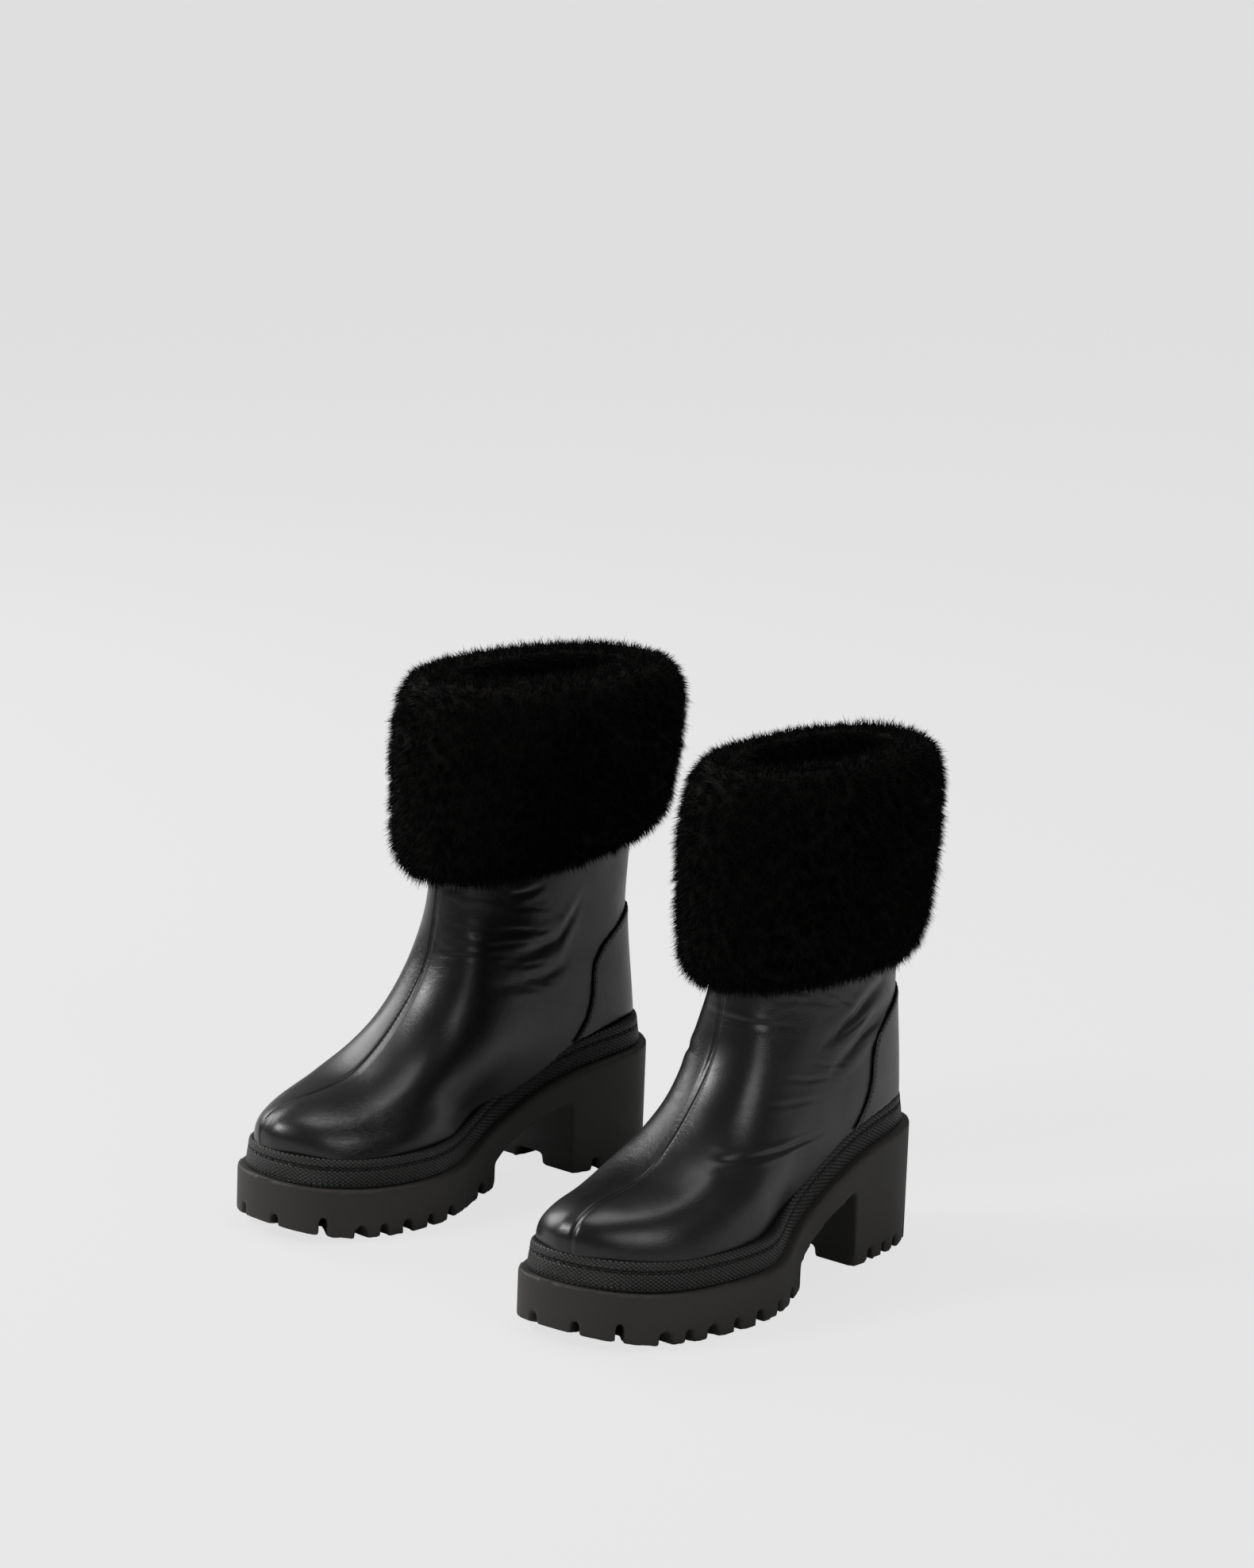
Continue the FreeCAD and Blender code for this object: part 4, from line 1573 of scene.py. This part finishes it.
@dataclass
class Studio:
    """Pale floor, soft light and the camera.

    Attributes:
        heel: row position of the left boot's heel point, which the camera is measured from.
    """

    heel: tuple[float, float]
    camera_offset: tuple[float, float] = (1.53856, -1.9981)
    camera_height: float = 0.80306
    azimuth: float = 40.788
    pitch: float = 0.224295
    roll: float = 0.037459
    focal_pixels: float = 6365.3
    photo_height: float = 1975.0
    sensor: float = 36.0
    background: float = 0.805
    shadow_share: float = 0.1
    paper_level: float = 0.72
    floor_size: float = 80.0
    world_strength: float = 0.13
    lamp_aim: tuple[float, float, float] = (0.0, 0.0, 0.12)
    lamps: tuple[tuple[str, tuple[float, float, float], float, float], ...] = (
        ("key", (-0.9, -1.35, 1.5), 0.55, 24.0), ("side", (-1.9, 0.0, 1.1), 1.2, 22.0),
        ("top", (0.0, 0.5, 2.5), 1.2, 16.0), ("fill", (2.3, -0.3, 1.4), 1.0, 12.0))

    def build(self) -> None:
        """Makes the whole studio."""
        self.camera()
        self.floor()
        self.lights()

    def camera(self) -> None:
        """Places the camera at the photograph's viewing angle."""
        data = bpy.data.cameras.new("camera")
        data.sensor_width = self.sensor
        data.lens = self.focal_pixels * self.sensor / self.photo_height
        data.clip_end = 100.0
        made = bpy.data.objects.new("camera", data)
        bpy.context.scene.collection.objects.link(made)
        turn = math.radians(self.azimuth)
        right = Vector((math.cos(turn), math.sin(turn), 0))
        depth = Vector((-math.sin(turn), math.cos(turn), 0))
        forward = depth * math.cos(self.pitch) - Vector((0, 0, math.sin(self.pitch)))
        down = -depth * math.sin(self.pitch) - Vector((0, 0, math.cos(self.pitch)))
        x_axis = right * math.cos(self.roll) - down * math.sin(self.roll)
        y_axis = -(right * math.sin(self.roll) + down * math.cos(self.roll))
        matrix = Matrix((x_axis, y_axis, -forward)).transposed().to_4x4()
        ground = np.array(self.heel) + np.array(self.camera_offset)
        matrix.translation = Vector((*ground, self.camera_height))
        made.matrix_world = matrix
        bpy.context.scene.camera = made

    def floor(self) -> None:
        """Lays a large pale floor whose tone stays even and keeps the shadows."""
        deselect()
        bpy.ops.mesh.primitive_plane_add(size=self.floor_size, location=(0, 0, -0.0005))
        made = bpy.context.object
        made.name = "floor"
        shader = Shader("floor_paper")
        paper = shader.node("BsdfDiffuse", inputs={"Color": grey(self.paper_level)})
        shaded = shader.node("BsdfDiffuse", inputs={"Color": grey(self.background * self.shadow_share)})
        glow = shader.node("Emission", inputs={
            "Color": grey(1.0), "Strength": self.background * (1 - self.shadow_share)})
        seen = shader.node("AddShader", inputs={0: shaded, 1: glow})
        camera = shader.node("LightPath", output="Is Camera Ray")
        shader.node_output(shader.node("MixShader", inputs={0: camera, 1: paper, 2: seen}))
        made.data.materials.append(shader.material)

    def lights(self) -> None:
        """Hangs the soft lamps and sets the world."""
        for lamp in self.lamps:
            self.lamp(*lamp)
        world = bpy.data.worlds.new("studio")
        bpy.context.scene.world = world
        world.use_nodes = True
        background = world.node_tree.nodes["Background"].inputs
        background["Color"].default_value = grey(1.0)
        background["Strength"].default_value = self.world_strength
        bpy.context.scene.view_settings.view_transform = "Standard"

    def lamp(self, name: str, place: tuple[float, float, float], size: float, power: float) -> None:
        """Hangs one square lamp that faces the boots.

        Args:
            name: its name.
            place: where it hangs.
            size: its side.
            power: its power in watts.
        """
        data = bpy.data.lights.new(name, "AREA")
        data.shape = "SQUARE"
        data.size = size
        data.energy = power
        made = bpy.data.objects.new(name, data)
        bpy.context.scene.collection.objects.link(made)
        made.location = place
        aim = Vector(self.lamp_aim) - Vector(place)
        made.rotation_euler = aim.to_track_quat("-Z", "Y").to_euler()


def seat_line(boot: Boot, frame: dict) -> Callable[[np.ndarray], np.ndarray]:
    """Height of the sole's top over u, felt under the insole board.

    Args:
        boot: the boot.
        frame: the loaded frame.

    Returns:
        A function from u to height, both in millimetres.
    """
    board_above_seat, beside_seam, beyond = 1.7, 0.5, 30.0
    tree = BVHTree.FromPolygons(*boot.node_mesh(frame, "insole_board"))
    felt = [(u, tree.ray_cast(Vector((u, beside_seam, 0)), Vector((0, 0, 1)))[0])
            for u in np.linspace(10, 254, 123)]
    places, heights = np.array([(u, point.z - board_above_seat) for u, point in felt if point is not None]).T
    last_rise = (heights[-1] - heights[-6]) / (places[-1] - places[-6])
    places = np.append(places, places[-1] + beyond)
    heights = np.append(heights, heights[-1] + beyond * last_rise)
    return lambda u: np.interp(u, places, heights)


def boots_of(frame: dict) -> list[Boot]:
    """Both boots, placed by the mounts under their treads.

    Args:
        frame: the loaded frame.

    Returns:
        The left and the right boot.
    """
    tread_u = 180.0
    found = []
    for name, side in (("left", 1), ("right", -1)):
        mount = next(m for m in frame["record"]["mounts"] if m["name"] == f"{name}_tread")
        turn = math.radians(3.0) * side
        x = mount["pos_m"][0] - tread_u * MM * math.sin(turn)
        y = mount["pos_m"][1] + tread_u * MM * math.cos(turn)
        found.append(Boot(name, side, (x, y)))
    return found


def creases_of(boot: Boot) -> list[Crease]:
    """The folds that walking has left in a boot's shaft.

    Args:
        boot: the boot.

    Returns:
        The folds, the large single ones first.
    """
    if boot.side > 0:
        clusters = (
            CreaseCluster(42, 144, 44, 6.0, 7, -0.2, 0.4, 3),
            CreaseCluster(95, 128, 44, 6.0, 5, 0.2, 0.4, 5),
            CreaseCluster(60, 104, 46, 5.0, 4, -0.2, 0.3, 8),
        )
        single = (
            Crease(((50, 122), (95, 133), (140, 146)), 3.2, 1.1),
            Crease(((60, 108), (100, 118), (150, 131)), 3.6, 1.0),
            Crease(((12, 79), (30, 76.5), (55, 76)), 1.2, 0.9),
            Crease(((-60, 122), (-30, 118), (-8, 120)), 2.0, 0.8),
        )
    else:
        clusters = (
            CreaseCluster(-34, 156, 46, 4.0, 6, 0.1, 0.5, 2),
            CreaseCluster(-38, 131, 50, 5.0, 8, 0.1, 0.5, 4),
            CreaseCluster(-75, 142, 36, 5.0, 4, 0.3, 0.35, 6),
            CreaseCluster(-55, 108, 44, 5.0, 3, 0.2, 0.35, 7),
        )
        single = (
            Crease(((-110, 150), (-80, 132), (-30, 124)), 3.4, 1.2),
            Crease(((-95, 118), (-60, 112), (-25, 112)), 3.0, 0.8),
            Crease(((-60, 162), (-30, 157), (-8, 160)), 1.6, 0.9),
        )
    return [*single, *(crease for cluster in clusters for crease in cluster.creases())]


def on_surface(skin: BVHTree, start: np.ndarray, aim: np.ndarray) -> Optional[tuple[np.ndarray, np.ndarray]]:
    """Point and outward direction where a ray meets the leather, if it does.

    Args:
        skin: the leather surface in boot points.
        start: where the ray starts.
        aim: its direction.

    Returns:
        Boot point and outward direction, or nothing.
    """
    hit = skin.ray_cast(Vector(start), Vector(aim))
    if hit[0] is None:
        return None
    out = np.array(hit[1])
    return np.array(hit[0]), out if out @ aim < 0 else -out


def seam_path(found: list[Optional[tuple[np.ndarray, np.ndarray]]]) -> tuple[np.ndarray, np.ndarray]:
    """Boot points and outward directions of the places where leather was met."""
    return tuple(np.array(part) for part in zip(*(hit for hit in found if hit is not None)))


def front_seam(skin: BVHTree, offset: float, top: float) -> tuple[np.ndarray, np.ndarray]:
    """Path beside the front seam, from the shaft down to the toe.

    Args:
        skin: the leather surface in boot points.
        offset: distance to the side of the seam.
        top: height where the path starts on the shaft.

    Returns:
        Boot points and outward directions.
    """
    shaft_u, toe_u, toe_height, away = 95, 225, 34, 200
    found = []
    for share in np.linspace(0, 1, 200):
        tilt = math.radians(4 + 70 * share)
        aim = np.array([-math.cos(tilt), 0.0, -math.sin(tilt)])
        u = shaft_u + (toe_u - shaft_u) * share ** 1.1
        target = np.array([u, offset, top * (1 - share) + toe_height * share])
        found.append(on_surface(skin, target - aim * away, aim))
    return seam_path(found)


def counter_edge(skin: BVHTree, counter: BVHTree, side: int, inward: float) -> tuple[np.ndarray, np.ndarray]:
    """Path along the front edge of the heel counter, on one side of the boot.

    Args:
        skin: the leather surface in boot points.
        counter: the counter's CAD solid in boot points.
        side: 1 for the outer side, -1 for the inner one.
        inward: distance from the edge to the path.

    Returns:
        Boot points and outward directions.
    """
    middle, beside = np.array([8.0, 80.0]), side * 80.0
    aim = np.array([0.0, -side, 0.0])
    found = []
    for turn in np.linspace(math.radians(-8), math.radians(82), 90):
        way = np.array([math.cos(turn), math.sin(turn)])
        for reach in np.arange(90.0, 10.0, -0.5):
            u, z = middle + way * reach
            if counter.ray_cast(Vector((u, beside, z)), Vector(aim), abs(beside) - 1)[0] is not None:
                u, z = middle + way * (reach - inward)
                found.append(on_surface(skin, np.array([u, beside, z]), aim))
                break
    return seam_path(found)


def main() -> None:
    """Loads the frame, builds every piece in order and reports it."""
    logging.basicConfig(level=logging.INFO, format="%(name)s: %(message)s")
    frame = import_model()
    for name, node in frame["nodes"].items():
        dress(node, CAD_FINISHES[name.split("_", 1)[1]])
    boots = boots_of(frame)
    Studio(boots[0].heel).build()
    upper, rand, sole, cuff = Upper(), Rand(), Sole(), FurCuff()
    seam_thread = Stitching(length=1.9, radius=0.2, pitch=2.7)
    beside_seam, seam_top, inside_edge = 2.3, 235.0, 2.4
    for boot in boots:
        seat = seat_line(boot, frame)
        sole.build(boot, frame)
        LOG.info("%s sole", boot.name)
        rand.build(boot, frame, seat, Stitching())
        LOG.info("%s rand", boot.name)
        counter = BVHTree.FromPolygons(*boot.node_mesh(frame, "back_counter"))
        skin = upper.build(boot, frame, seat, creases_of(boot))
        LOG.info("%s upper", boot.name)
        seam_thread.row(boot, "front_seam_stitches", *front_seam(skin, beside_seam, seam_top))
        for label, side in (("outer", 1), ("inner", -1)):
            edge = counter_edge(skin, counter, side, inside_edge)
            seam_thread.row(boot, f"counter_stitches_{label}", *edge)
        LOG.info("%s seams", boot.name)
        cuff.build(boot, frame)
        LOG.info("%s cuff", boot.name)


if __name__ == "__main__":
    main()
